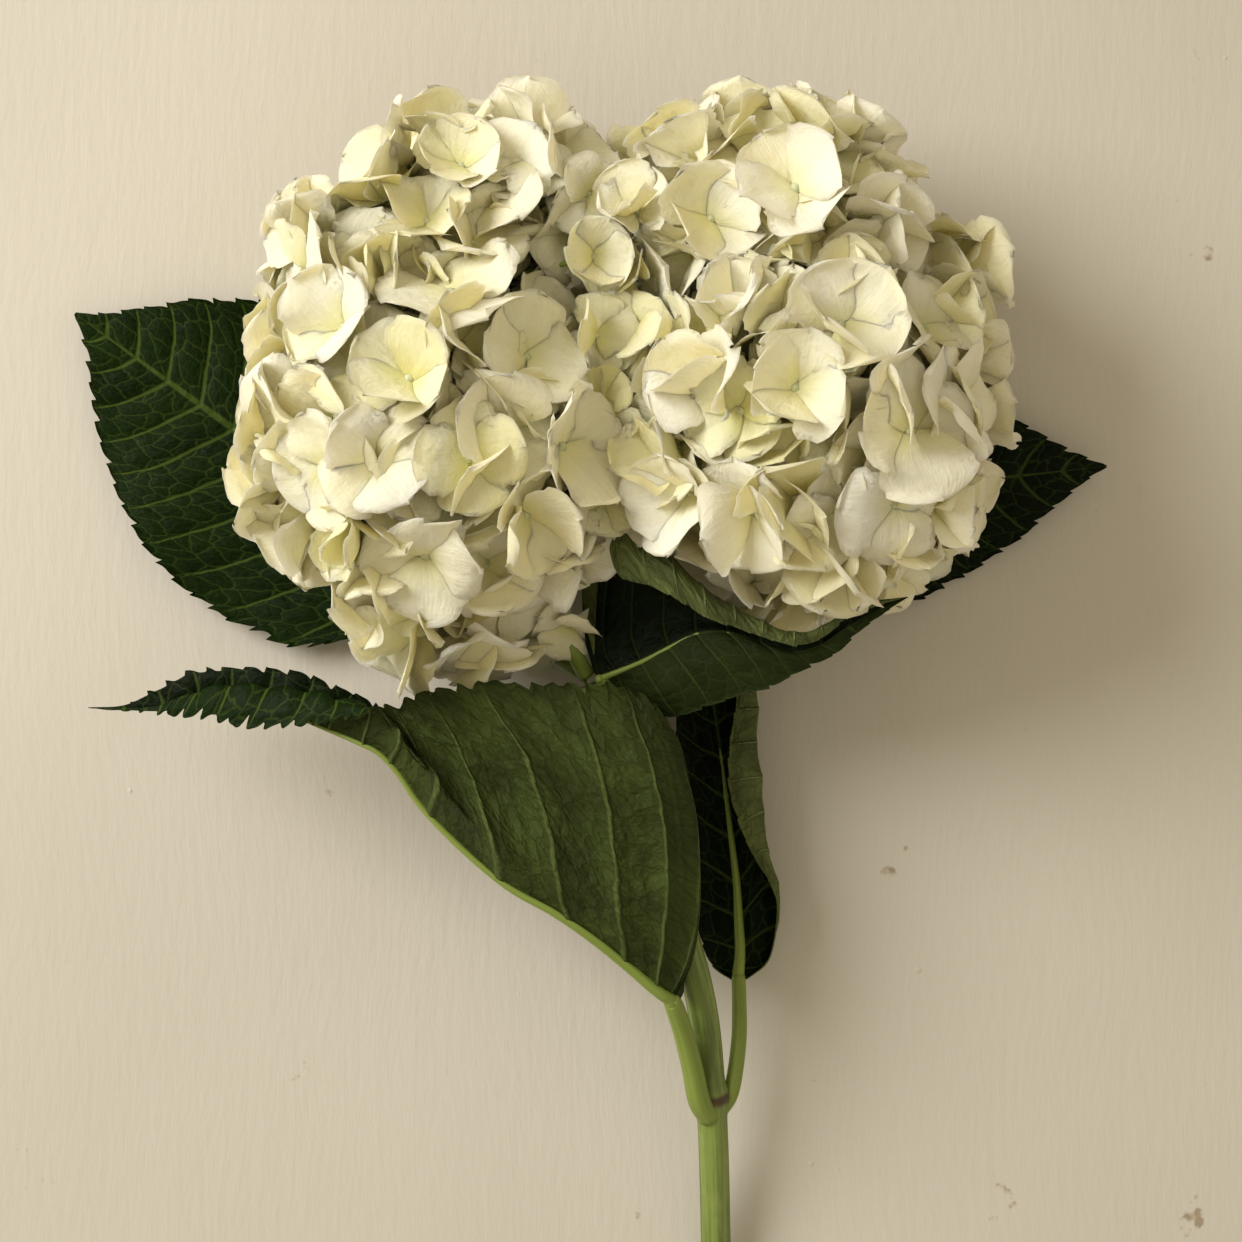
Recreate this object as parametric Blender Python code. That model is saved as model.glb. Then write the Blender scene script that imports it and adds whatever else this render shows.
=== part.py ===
"""A cut hydrangea stem that lies on its back: two white flower heads and five leaves.

The stem lies along +Y with its cut end at -Y, the flower heads at +Y, and +Z is up from the table.
Shapes are worked out in millimetres, in a sketch frame on the table, and turned into metres by row().
"""

import math

import bmesh
import bpy
from mathutils import Vector

# ---------------------------------------------------------------- driving dimensions, in millimetres
SKETCH_ORIGIN = Vector((-9.2, -56.2, 0.4))  # the sketch point that becomes the row's origin
FIT_GAP = 0.4  # air between pieces that grow from each other

STEM_RADIUS = 4.3
NODE_RADIUS = 5.2  # the stem is swollen where leaves leave it
CUT_SLANT = math.radians(35)  # the florist's slanting cut, away from square
STEM_PATH = [(29, -258, 4.8), (28, -184, 9), (26.2, -139.5, 20), (22, -105, 26), (8, -60, 33), (-6.8, -17.6, 38)]
STEM_NODES = (0.405, 1.0)  # where along the path the stem is swollen
STALK_RADIUS = 2.5
RAY_RADIUS = 2.2
RAY_FORKS = (0.62, 0.72, 0.78)  # where along the flower stalk the rays leave it
PEDICEL_RADIUS = 0.75
BLADE_THICKNESS = 0.9
TABLE_CLEARANCE = 10.0  # the flattened back of a head stays this far above the table, over its leaves

# A head is the union of a few balls: (x, y, z, radius). Florets lie on its surface.
LEFT_LOBES = [(-55, 51, 54, 48), (-62, 87, 48, 38), (-42, 114, 40, 29), (-47, 19, 46, 31)]
RIGHT_LOBES = [(54, 54, 54, 50), (48, 111, 50, 36), (72, 86, 46, 30)]
LEFT_STALK = [(-9.6, -15.6, 39.2), (-17, -3, 44), (-33, 20, 50), (-52, 47, 52)]
RIGHT_STALK = [(-4.2, -14.2, 38.2), (3, 2, 41), (22, 24, 47), (46, 45, 52)]
# Where the rays of each head end. Every floret's own stalk joins the nearest ray.
LEFT_RAYS = [(-52, 47, 52), (-59, 83, 48), (-42, 109, 41), (-46, 19, 47)]
RIGHT_RAYS = [(46, 45, 52), (66, 62, 52), (48, 104, 49), (70, 86, 45)]

# Where florets start, as (x, y) seen from above, before they spread out evenly over their head.
LEFT_FLORETS = [
    (-52, 87), (-26, 91), (-31, 104), (-31, 74), (-23, 51), (-43, 46), (-77, 79), (-60, 66), (-95, 87),
    (-83, 105), (-57, 111), (-42, 138), (-61, 130), (-19, 130), (-81, 45), (-96, 62), (-31, 34), (-64, 29),
    (-41, 15), (-12, 22), (-82, 19), (-52, -2), (-99, 41),
]
RIGHT_FLORETS = [
    (9, 100), (26, 116), (50, 120), (66, 101), (38, 94), (26, 75), (51, 64), (7, 78), (29, 138), (80, 121),
    (96, 93), (77, 81), (36, 56), (99, 68), (25, 38), (59, 28), (72, 52), (93, 47), (90, 25),
    (38, 27), (75, 11), (52, 8), (56, 137),
]
# The same on the underside, where the head is pressed flat.
LEFT_UNDER_FLORETS = [(-70, 36), (-70, 88), (-38, 62)]
RIGHT_UNDER_FLORETS = [(40, 40), (40, 92), (72, 66)]
LARGEST_FLORET_RADIUS = 14.5
FLORET_SPACING = 31.0
SPREAD_STEPS = 80

# Leaves. stalk and spine are the petiole's and the midrib's points. Along the spine: roll turns the blade
# about the midrib (0 is face up), fold is the angle at which each half leaves the midrib, and curl is how
# far its margin has turned beyond that, in degrees, for the (left, right) half. A lower fullness puts the
# widest place nearer to the base.
LEAVES = {
    "leaf_upper_left": dict(
        stalk=[(-14.6, -12.5, 35), (-24, -8, 22), (-34, 0, 10)],
        spine=[(-43, 7, 5.5), (-76, 29, 4), (-109.5, 53, 4), (-137, 73, 5), (-161.6, 91, 7)],
        half_widths=(48, 48), stalk_radius=2.2, fullness=0.756,
        roll=[0, 0, 0, 0, 0], fold=[(4, 4), (2, 2), (2, 2), (4, 4), (5, 5)],
        curl=[(0, 0), (6, 4), (8, -4), (5, 3), (6, 4)], curl_power=1.6,
    ),
    "leaf_upper_right": dict(
        stalk=[(4.6, -3, 33), (10, 10, 22), (15, 22, 12)],
        spine=[(24, 31.5, 6), (54, 37, 4.5), (84, 40.5, 4), (112, 42.5, 4.5), (143.4, 45.7, 9)],
        half_widths=(37, 37), stalk_radius=2.2, fullness=0.756,
        roll=[0, 0, 0, 0, 0], fold=[(3, 3), (3, 3), (3, 3), (4, 4), (6, 6)],
        curl=[(0, 0), (5, 5), (6, -3), (5, 4), (4, 5)], curl_power=1.6,
    ),
    "leaf_upper_front": dict(
        stalk=[(1.6, -18.6, 43), (3.5, -16.6, 44.5)],
        spine=[(6.5, -14.5, 46), (19.4, -8.5, 50), (29, -5, 54), (45.8, -9, 58), (59, -4.8, 62), (80, 6.4, 66)],
        half_widths=(66, 27), stalk_radius=1.7, fullness=0.45,
        roll=[0, 0, 0, 0, 0, 0],
        fold=[(6, -4), (14, -8), (44, -10), (72, -14), (66, -10), (30, -10)],
        curl=[(190, -10), (200, -20), (180, -24), (140, -24), (120, -20), (100, -10)], curl_power=3.2,
    ),
    "leaf_lower_front": dict(
        stalk=[(20.6, -139, 26.6), (19.8, -129, 30), (17.4, -118, 35)],
        spine=[(11.9, -108, 40), (-10.6, -87, 49), (-31, -71.5, 54), (-49.3, -54.8, 56), (-64.9, -35.3, 53),
               (-84.2, -21.1, 47), (-115, -19, 38), (-153.6, -25, 27)],
        half_widths=(73, 42), stalk_radius=2.9, fullness=0.756,
        roll=[184, 182, 180, 170, 108, 80, 74, 120],
        fold=[(-10, 60), (-14, 96), (-16, 104), (-20, 96), (-16, 46), (0, 5), (0, 5), (0, 0)],
        curl=[(26, 20), (34, 30), (38, 30), (40, 20), (30, 10), (10, 0), (8, 0), (0, 0)], curl_power=0.8,
    ),
    "leaf_lower_right": dict(
        stalk=[(33.6, -137.5, 19), (34.2, -124, 17.2), (35, -110, 15.5)],
        spine=[(35, -103, 15), (33.6, -84, 13), (31, -58, 12), (28, -32, 13), (24.5, -2, 16)],
        half_widths=(26, 24), stalk_radius=2.2, fullness=0.756,
        roll=[0, 2, 2, 2, 0], fold=[(14, 12), (10, 14), (8, 20), (6, 20), (6, 10)],
        curl=[(24, 30), (20, 70), (16, 190), (14, 195), (10, 90)], curl_power=1.6,
    ),
}
SPINE_STATIONS = 22
STALK_STATIONS = 4
TOOTH_DEPTH = 0.07  # of the half-width
ACROSS = 4  # points from the midrib to each margin

MATERIALS = {
    "stem_green": ((0.29, 0.38, 0.09), 0.45),
    "flower_stalk_green": ((0.55, 0.62, 0.28), 0.5),
    "leaf_green": ((0.035, 0.075, 0.015), 0.42),
    "sepal_white": ((0.86, 0.82, 0.66), 0.6),
}


# ---------------------------------------------------------------- helpers
def clear_scene():
    for obj in list(bpy.data.objects):
        bpy.data.objects.remove(obj)


def row(point):
    """A sketch point, in millimetres, as a point of the row's frame, in metres."""
    return (Vector(point) - SKETCH_ORIGIN) / 1000


def make_materials():
    made = {}
    for name, (colour, roughness) in MATERIALS.items():
        material = bpy.data.materials.new(name)
        material.use_nodes = True
        shader = material.node_tree.nodes["Principled BSDF"]
        shader.inputs["Base Color"].default_value = (*colour, 1)
        shader.inputs["Roughness"].default_value = roughness
        shader.inputs["Metallic"].default_value = 0
        made[name] = material
    return made


def between(values, t):
    """The Catmull-Rom curve through values, at t from 0 to 1. values are numbers or tuples of numbers."""
    rows = [Vector(v) if hasattr(v, "__len__") else Vector((v, 0)) for v in values]
    place = min(max(t, 0), 1) * (len(rows) - 1)
    i = min(int(place), len(rows) - 2)
    f = place - i
    b, c = rows[i], rows[i + 1]
    a = rows[i - 1] if i else 2 * b - c
    d = rows[i + 2] if i + 2 < len(rows) else 2 * c - b
    found = 0.5 * (2 * b + (c - a) * f + (2 * a - 5 * b + 4 * c - d) * f**2 + (3 * b - a - 3 * c + d) * f**3)
    return found if hasattr(values[0], "__len__") else found[0]


def add_object(name, mesh_builder, material):
    """An object whose mesh comes from a bmesh, moved so that its own origin is its middle."""
    mesh = bpy.data.meshes.new(name)
    bmesh.ops.recalc_face_normals(mesh_builder, faces=mesh_builder.faces)
    middle = sum((v.co for v in mesh_builder.verts), Vector()) / len(mesh_builder.verts)
    bmesh.ops.translate(mesh_builder, verts=mesh_builder.verts, vec=-middle)
    mesh_builder.to_mesh(mesh)
    mesh_builder.free()
    mesh.shade_smooth()
    mesh.set_sharp_from_angle(angle=math.radians(40))
    mesh.materials.append(material)
    obj = bpy.data.objects.new(name, mesh)
    obj.location = middle
    bpy.context.scene.collection.objects.link(obj)
    return obj


def loft(rings):
    """A closed bmesh through rings of points, in sketch millimetres, with flat ends."""
    made = bmesh.new()
    loops = [[made.verts.new(row(p)) for p in ring] for ring in rings]
    for low, high in zip(loops, loops[1:]):
        for i in range(len(low)):
            j = (i + 1) % len(low)
            made.faces.new((low[i], low[j], high[j], high[i]))
    made.faces.new(reversed(loops[0]))
    made.faces.new(loops[-1])
    return made


def sideways(tangent, like):
    """The unit vector nearest to like that is square to tangent."""
    return (like - tangent * like.dot(tangent)).normalized()


def tube_rings(path, radius_at, stations, sides=10, cut_normal=None):
    """Round rings along a smooth path. radius_at gives the radius at t. cut_normal slants the first ring."""
    rings = []
    side = Vector((1, 0, 0.2))
    for n in range(stations):
        t = n / (stations - 1)
        centre = between(path, t)
        tangent = (between(path, min(t + 0.01, 1)) - between(path, max(t - 0.01, 0))).normalized()
        side = sideways(tangent, side)
        up = tangent.cross(side)
        ring = []
        for k in range(sides):
            angle = 2 * math.pi * k / sides
            offset = (side * math.cos(angle) + up * math.sin(angle)) * radius_at(t)
            if n == 0 and cut_normal:
                offset -= tangent * offset.dot(cut_normal) / tangent.dot(cut_normal)
            ring.append(centre + offset)
        rings.append(ring)
    return rings


# ---------------------------------------------------------------- stem and flower stalks
def stem_radius(t):
    swell = max(math.exp(-(((t - node) / 0.022) ** 2)) for node in STEM_NODES)
    return STEM_RADIUS + (NODE_RADIUS - STEM_RADIUS) * swell


def cut_normal():
    """The outward normal of the slanting cut, which faces back along the stem and up."""
    return Vector((0, -math.cos(CUT_SLANT), math.sin(CUT_SLANT)))


def add_stem(material):
    rings = tube_rings(STEM_PATH, stem_radius, stations=34, sides=12, cut_normal=cut_normal())
    return add_object("main_stem", loft(rings), material)


def ray_paths(path, ray_tips):
    """The rays of a head. Each leaves the stalk at a fork and rises a little on its way to its tip."""
    rays = []
    for n, tip in enumerate(ray_tips[1:]):
        start = between(path, RAY_FORKS[n % len(RAY_FORKS)])
        bow = start.lerp(Vector(tip), 0.5) + Vector((0, 0, 3))
        rays.append([start, bow, Vector(tip)])
    return rays


def add_flower_stalk(name, path, ray_tips, material):
    """A head's stalk and its rays, joined into one piece."""


    def stalk(t):
        return STALK_RADIUS * (1 - 0.3 * t)

    def ray_width(t):
        return RAY_RADIUS * (1 - 0.3 * t)

    trunk = add_object(name, loft(tube_rings(path, stalk, stations=12, sides=8)), material)
    for n, ray_path in enumerate(ray_paths(path, ray_tips)):
        ray = add_object(f"{name}_ray_{n}", loft(tube_rings(ray_path, ray_width, 8, 8)), material)
        ray.hide_render = True
        ray.display_type = "WIRE"
        joined = trunk.modifiers.new(f"ray_{n}", "BOOLEAN")
        joined.operation = "UNION"
        joined.object = ray
    return trunk


# ---------------------------------------------------------------- leaves
def blade_width(v, fullness):
    """The share of the half-width at v, from 0 at the blade's base to 1 at its drawn-out tip."""
    drawn_out = 1 - 0.25 * max(0, (v - 0.8) / 0.2)
    return max(math.sin(math.pi * v**fullness), 0) ** 0.95 * drawn_out


def half_section(width, fold, curl, power, steps):
    """(across, up) of points from the midrib to the margin of one half, which folds and then curls."""
    points = []
    x = y = 0.0
    fine = 6
    for n in range(steps * fine):
        share = (n + 0.5) / (steps * fine)
        angle = math.radians(fold + curl * share**power)
        x += math.cos(angle) * width / (steps * fine)
        y += math.sin(angle) * width / (steps * fine)
        if (n + 1) % fine == 0:
            points.append((x, y, angle))
    return points


def leaf_section(leaf, v, tooth):
    """The blade's mid-surface across one station: (across, up, angle) from the left margin to the right."""
    halves = []
    for side in (0, 1):
        full = leaf["half_widths"][side] * blade_width(v, leaf["fullness"])
        width = max(full * (1 - TOOTH_DEPTH * tooth), 0.6)
        fold = between(leaf["fold"], v)[side]
        curl = between(leaf["curl"], v)[side]
        halves.append(half_section(width, fold, curl, leaf["curl_power"], ACROSS))
    left = [(-x, y, -angle) for x, y, angle in reversed(halves[0])]
    return left + [(0, 0, 0)] + halves[1]


def leaf_ring(leaf, v, spine_frame, grown, tooth):
    """One closed ring of a leaf. grown runs from 0, the round petiole, to 1, the flat blade."""
    centre, tangent, side, up = spine_frame
    rib = leaf["stalk_radius"] * (1 - 0.75 * v)
    section = leaf_section(leaf, v, tooth)
    count = len(section)
    upper, lower = [], []
    for n, (x, y, angle) in enumerate(section):
        thick = BLADE_THICKNESS / 2 + (rib if n == count // 2 else 0)
        lean = Vector((-math.sin(angle), math.cos(angle)))
        around = math.pi * (n + 0.5) / count
        stalk = Vector((-math.cos(around), math.sin(around))) * leaf["stalk_radius"]
        top = stalk.lerp(Vector((x, y)) + lean * BLADE_THICKNESS / 2, grown)
        bottom = Vector((stalk.x, -stalk.y)).lerp(Vector((x, y)) - lean * thick, grown)
        upper.append(centre + side * top.x + up * top.y)
        lower.append(centre + side * bottom.x + up * bottom.y)
    return upper + lower[::-1]


def spine_frames(points, rolls):
    """(centre, tangent, side, up) at any t, with the blade rolled about the spine."""

    def at(t, roll_t):
        centre = between(points, t)
        tangent = (between(points, min(t + 0.02, 1)) - between(points, max(t - 0.02, 0))).normalized()
        level = tangent.cross(Vector((0, 0, 1))).normalized()
        over = level.cross(tangent)
        roll = math.radians(between(rolls, roll_t))
        side = level * math.cos(roll) - over * math.sin(roll)
        up = over * math.cos(roll) + level * math.sin(roll)
        return centre, tangent, side, up

    return at


def add_leaf(name, leaf, material):
    points = leaf["stalk"] + leaf["spine"]
    base = len(leaf["stalk"]) / (len(points) - 1)
    frame = spine_frames(points, leaf["roll"])
    rings = []
    for n in range(STALK_STATIONS):
        t = base * n / STALK_STATIONS
        rings.append(leaf_ring(leaf, 0.0, frame(t, 0), 0.0, 0))
    for n in range(SPINE_STATIONS):
        v = n / (SPINE_STATIONS - 1)
        tooth = 0 if n % 2 else 1
        rings.append(leaf_ring(leaf, v, frame(base + (1 - base) * v, v), min(1, 0.25 + 8 * v), tooth))
    return add_object(name, loft(rings), material)


# ---------------------------------------------------------------- florets
def onto_head(point, lobes):
    """(point, outward normal) where the head's surface is nearest to the point."""
    found = Vector(point)
    normal = Vector((0, 0, 1))
    for _ in range(4):
        ball = max(lobes, key=lambda b: b[3] - (found - Vector(b[:3])).length)
        normal = (found - Vector(ball[:3])).normalized()
        found = Vector(ball[:3]) + normal * ball[3]
    if found.z < TABLE_CLEARANCE:
        found.z = TABLE_CLEARANCE
        normal = Vector((normal.x * 0.3, normal.y * 0.3, -1)).normalized()
    return found, normal


def spread(points, heads, steps):
    """Florets that are closer than the spacing push each other along the surface of their head."""
    placed = [onto_head(p, lobes)[0] for p, lobes in zip(points, heads)]
    for _ in range(steps):
        moved = []
        for i, here in enumerate(placed):
            push = Vector()
            for j, there in enumerate(placed):
                gap = (here - there).length
                if i != j and gap < FLORET_SPACING:
                    push += (here - there) / max(gap, 0.1) * (FLORET_SPACING - gap) * 0.22
            moved.append(onto_head(here + push, heads[i])[0])
        placed = moved
    return placed


def floret_places():
    """Every floret as (name, centre, normal, where its stalk joins a ray, roll)."""
    heads = (
        ("left", LEFT_LOBES, LEFT_STALK, LEFT_RAYS, LEFT_FLORETS, LEFT_UNDER_FLORETS),
        ("right", RIGHT_LOBES, RIGHT_STALK, RIGHT_RAYS, RIGHT_FLORETS, RIGHT_UNDER_FLORETS),
    )
    names, starts, lobes_of, rays_of = [], [], [], []
    for head, lobes, stalk, rays, over, under in heads:
        spots = [(x, y, 100) for x, y in over] + [(x, y, 0) for x, y in under]
        names += [f"{head}_floret_{n + 1:02d}" for n in range(len(spots))]
        starts += spots
        lobes_of += [lobes] * len(spots)
        rays_of += [[stalk[1:]] + ray_paths(stalk, rays)] * len(spots)
    placed = spread(starts, lobes_of, SPREAD_STEPS)
    places = []
    for n, point in enumerate(placed):
        centre, normal = onto_head(point, lobes_of[n])
        places.append((names[n], centre, normal, joins_at(centre, rays_of[n]), 0.9 * n))
    return places


def joins_at(centre, paths):
    """The nearest place on the head's stalk and rays, where a floret's own stalk grows from."""
    places = [between(path, n / 24) for path in paths for n in range(25)]
    return min(places, key=lambda place: (place - centre).length)


def floret_radius(centre, others):
    """As wide as the nearest neighbour leaves room for."""
    nearest = min((centre - other).length for other in others)
    return min(nearest * 0.5 - FIT_GAP, LARGEST_FLORET_RADIUS)


def floret_outline():
    """(angle, share of the radius) round a floret: four broad sepals with notches between them."""
    points = []
    for sepal in range(4):
        middle = sepal * math.pi / 2
        half = math.radians(29)
        points += [(middle - half, 1.0), (middle + half, 1.0), (middle + math.pi / 4, 0.64)]
    return points


def add_floret(name, centre, normal, join, roll, radius, material):
    """Four sepals joined round a small bud, on a stalk that runs inwards to a ray."""
    inward = (join - centre).normalized()
    stalk_end = join - inward * (STALK_RADIUS + 2 * FIT_GAP)

    def ring(middle, axis, reach, lobed):
        side = sideways(axis, Vector((0.3, 1, 0.1)))
        other = axis.cross(side)
        points = []
        for angle, share in floret_outline():
            spread_to = side * math.cos(angle + roll) + other * math.sin(angle + roll)
            points.append(middle + spread_to * reach * (share if lobed else 1))
        return points

    rings = [
        ring(stalk_end, -inward, PEDICEL_RADIUS, False),
        ring(centre + inward * 3, -inward, PEDICEL_RADIUS, False),
        ring(centre - normal * 1.6, normal, radius, True),
        ring(centre - normal * 0.8, normal, radius * 0.98, True),
        ring(centre + normal * 0.3, normal, 1.8, False),
        ring(centre + normal * 2.0, normal, 1.2, False),
    ]
    return add_object(name, loft(rings), material)


def main():
    clear_scene()
    materials = make_materials()
    add_stem(materials["stem_green"])
    add_flower_stalk("left_flower_stalk", LEFT_STALK, LEFT_RAYS, materials["flower_stalk_green"])
    add_flower_stalk("right_flower_stalk", RIGHT_STALK, RIGHT_RAYS, materials["flower_stalk_green"])
    for name, leaf in LEAVES.items():
        add_leaf(name, leaf, materials["leaf_green"])
    places = floret_places()
    for name, centre, normal, tip, roll in places:
        others = [p[1] for p in places if p[0] != name]
        radius = floret_radius(centre, others)
        add_floret(name, centre, normal, tip, roll, radius, materials["sepal_white"])


main()
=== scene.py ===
"""White hydrangeas: a cut stem with two mophead flower heads and five leaves, lying on a pale painted board.

Shapes are worked out in millimetres, in a sketch frame on the board with +Z towards the camera, and moved
into the row's frame by to_row(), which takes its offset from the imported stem.
"""

import math
import random

import bpy
import numpy as np
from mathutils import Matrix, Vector
from mathutils.bvhtree import BVHTree


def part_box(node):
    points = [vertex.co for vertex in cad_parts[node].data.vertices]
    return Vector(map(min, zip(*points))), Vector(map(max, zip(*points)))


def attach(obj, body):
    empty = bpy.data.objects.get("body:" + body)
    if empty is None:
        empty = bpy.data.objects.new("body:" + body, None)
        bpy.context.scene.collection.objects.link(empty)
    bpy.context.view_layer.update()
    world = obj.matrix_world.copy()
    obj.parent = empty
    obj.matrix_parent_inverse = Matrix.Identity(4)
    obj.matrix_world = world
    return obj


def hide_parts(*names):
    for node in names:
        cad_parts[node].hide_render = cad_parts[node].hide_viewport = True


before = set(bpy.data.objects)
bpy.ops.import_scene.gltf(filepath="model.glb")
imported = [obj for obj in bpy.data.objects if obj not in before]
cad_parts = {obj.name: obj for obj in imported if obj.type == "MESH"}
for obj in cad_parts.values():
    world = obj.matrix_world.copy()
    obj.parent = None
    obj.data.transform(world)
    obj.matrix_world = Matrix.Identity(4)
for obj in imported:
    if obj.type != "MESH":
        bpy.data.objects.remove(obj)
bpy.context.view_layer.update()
rng = random.Random(417)

# ---- dimensions, millimetres
STEM_RADIUS = 4.3
NODE_RADIUS = 5.3
CUT_SLANT = math.radians(35)
STEM_PATH = [(29, -258, 4.8), (28, -184, 9), (26.2, -139.5, 20), (22, -105, 26), (8, -60, 33), (-6.8, -17.6, 38)]
STEM_NODES = (0.405, 1.0)
STALK_RADIUS = 2.5
RAY_RADIUS = 2.2
RAY_FORKS = (0.62, 0.72, 0.78)
BOARD_Z = 0.4  # the board in the sketch
BOARD_GAP = 0.2  # no point of a piece is nearer to the board
BOARD_CLEARANCE = 10.0  # the lowest a floret's middle is

LEFT_LOBES = [(-54, 51, 54, 47), (-61, 87, 48, 37), (-42, 114, 40, 29), (-27, 117, 46, 24), (-47, 19, 46, 31)]
RIGHT_LOBES = [(53, 54, 54, 48.5), (48, 108, 50, 34), (25, 110, 48, 27), (72, 86, 46, 29)]
LEFT_STALK = [(-9.6, -15.6, 39.2), (-17, -3, 44), (-33, 20, 50), (-52, 47, 52)]
RIGHT_STALK = [(-4.2, -14.2, 38.2), (3, 2, 41), (22, 24, 47), (46, 45, 52)]
LEFT_RAYS = [(-52, 47, 52), (-59, 83, 48), (-42, 109, 41), (-46, 19, 47)]
RIGHT_RAYS = [(46, 45, 52), (66, 62, 52), (48, 104, 49), (70, 86, 45)]

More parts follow.
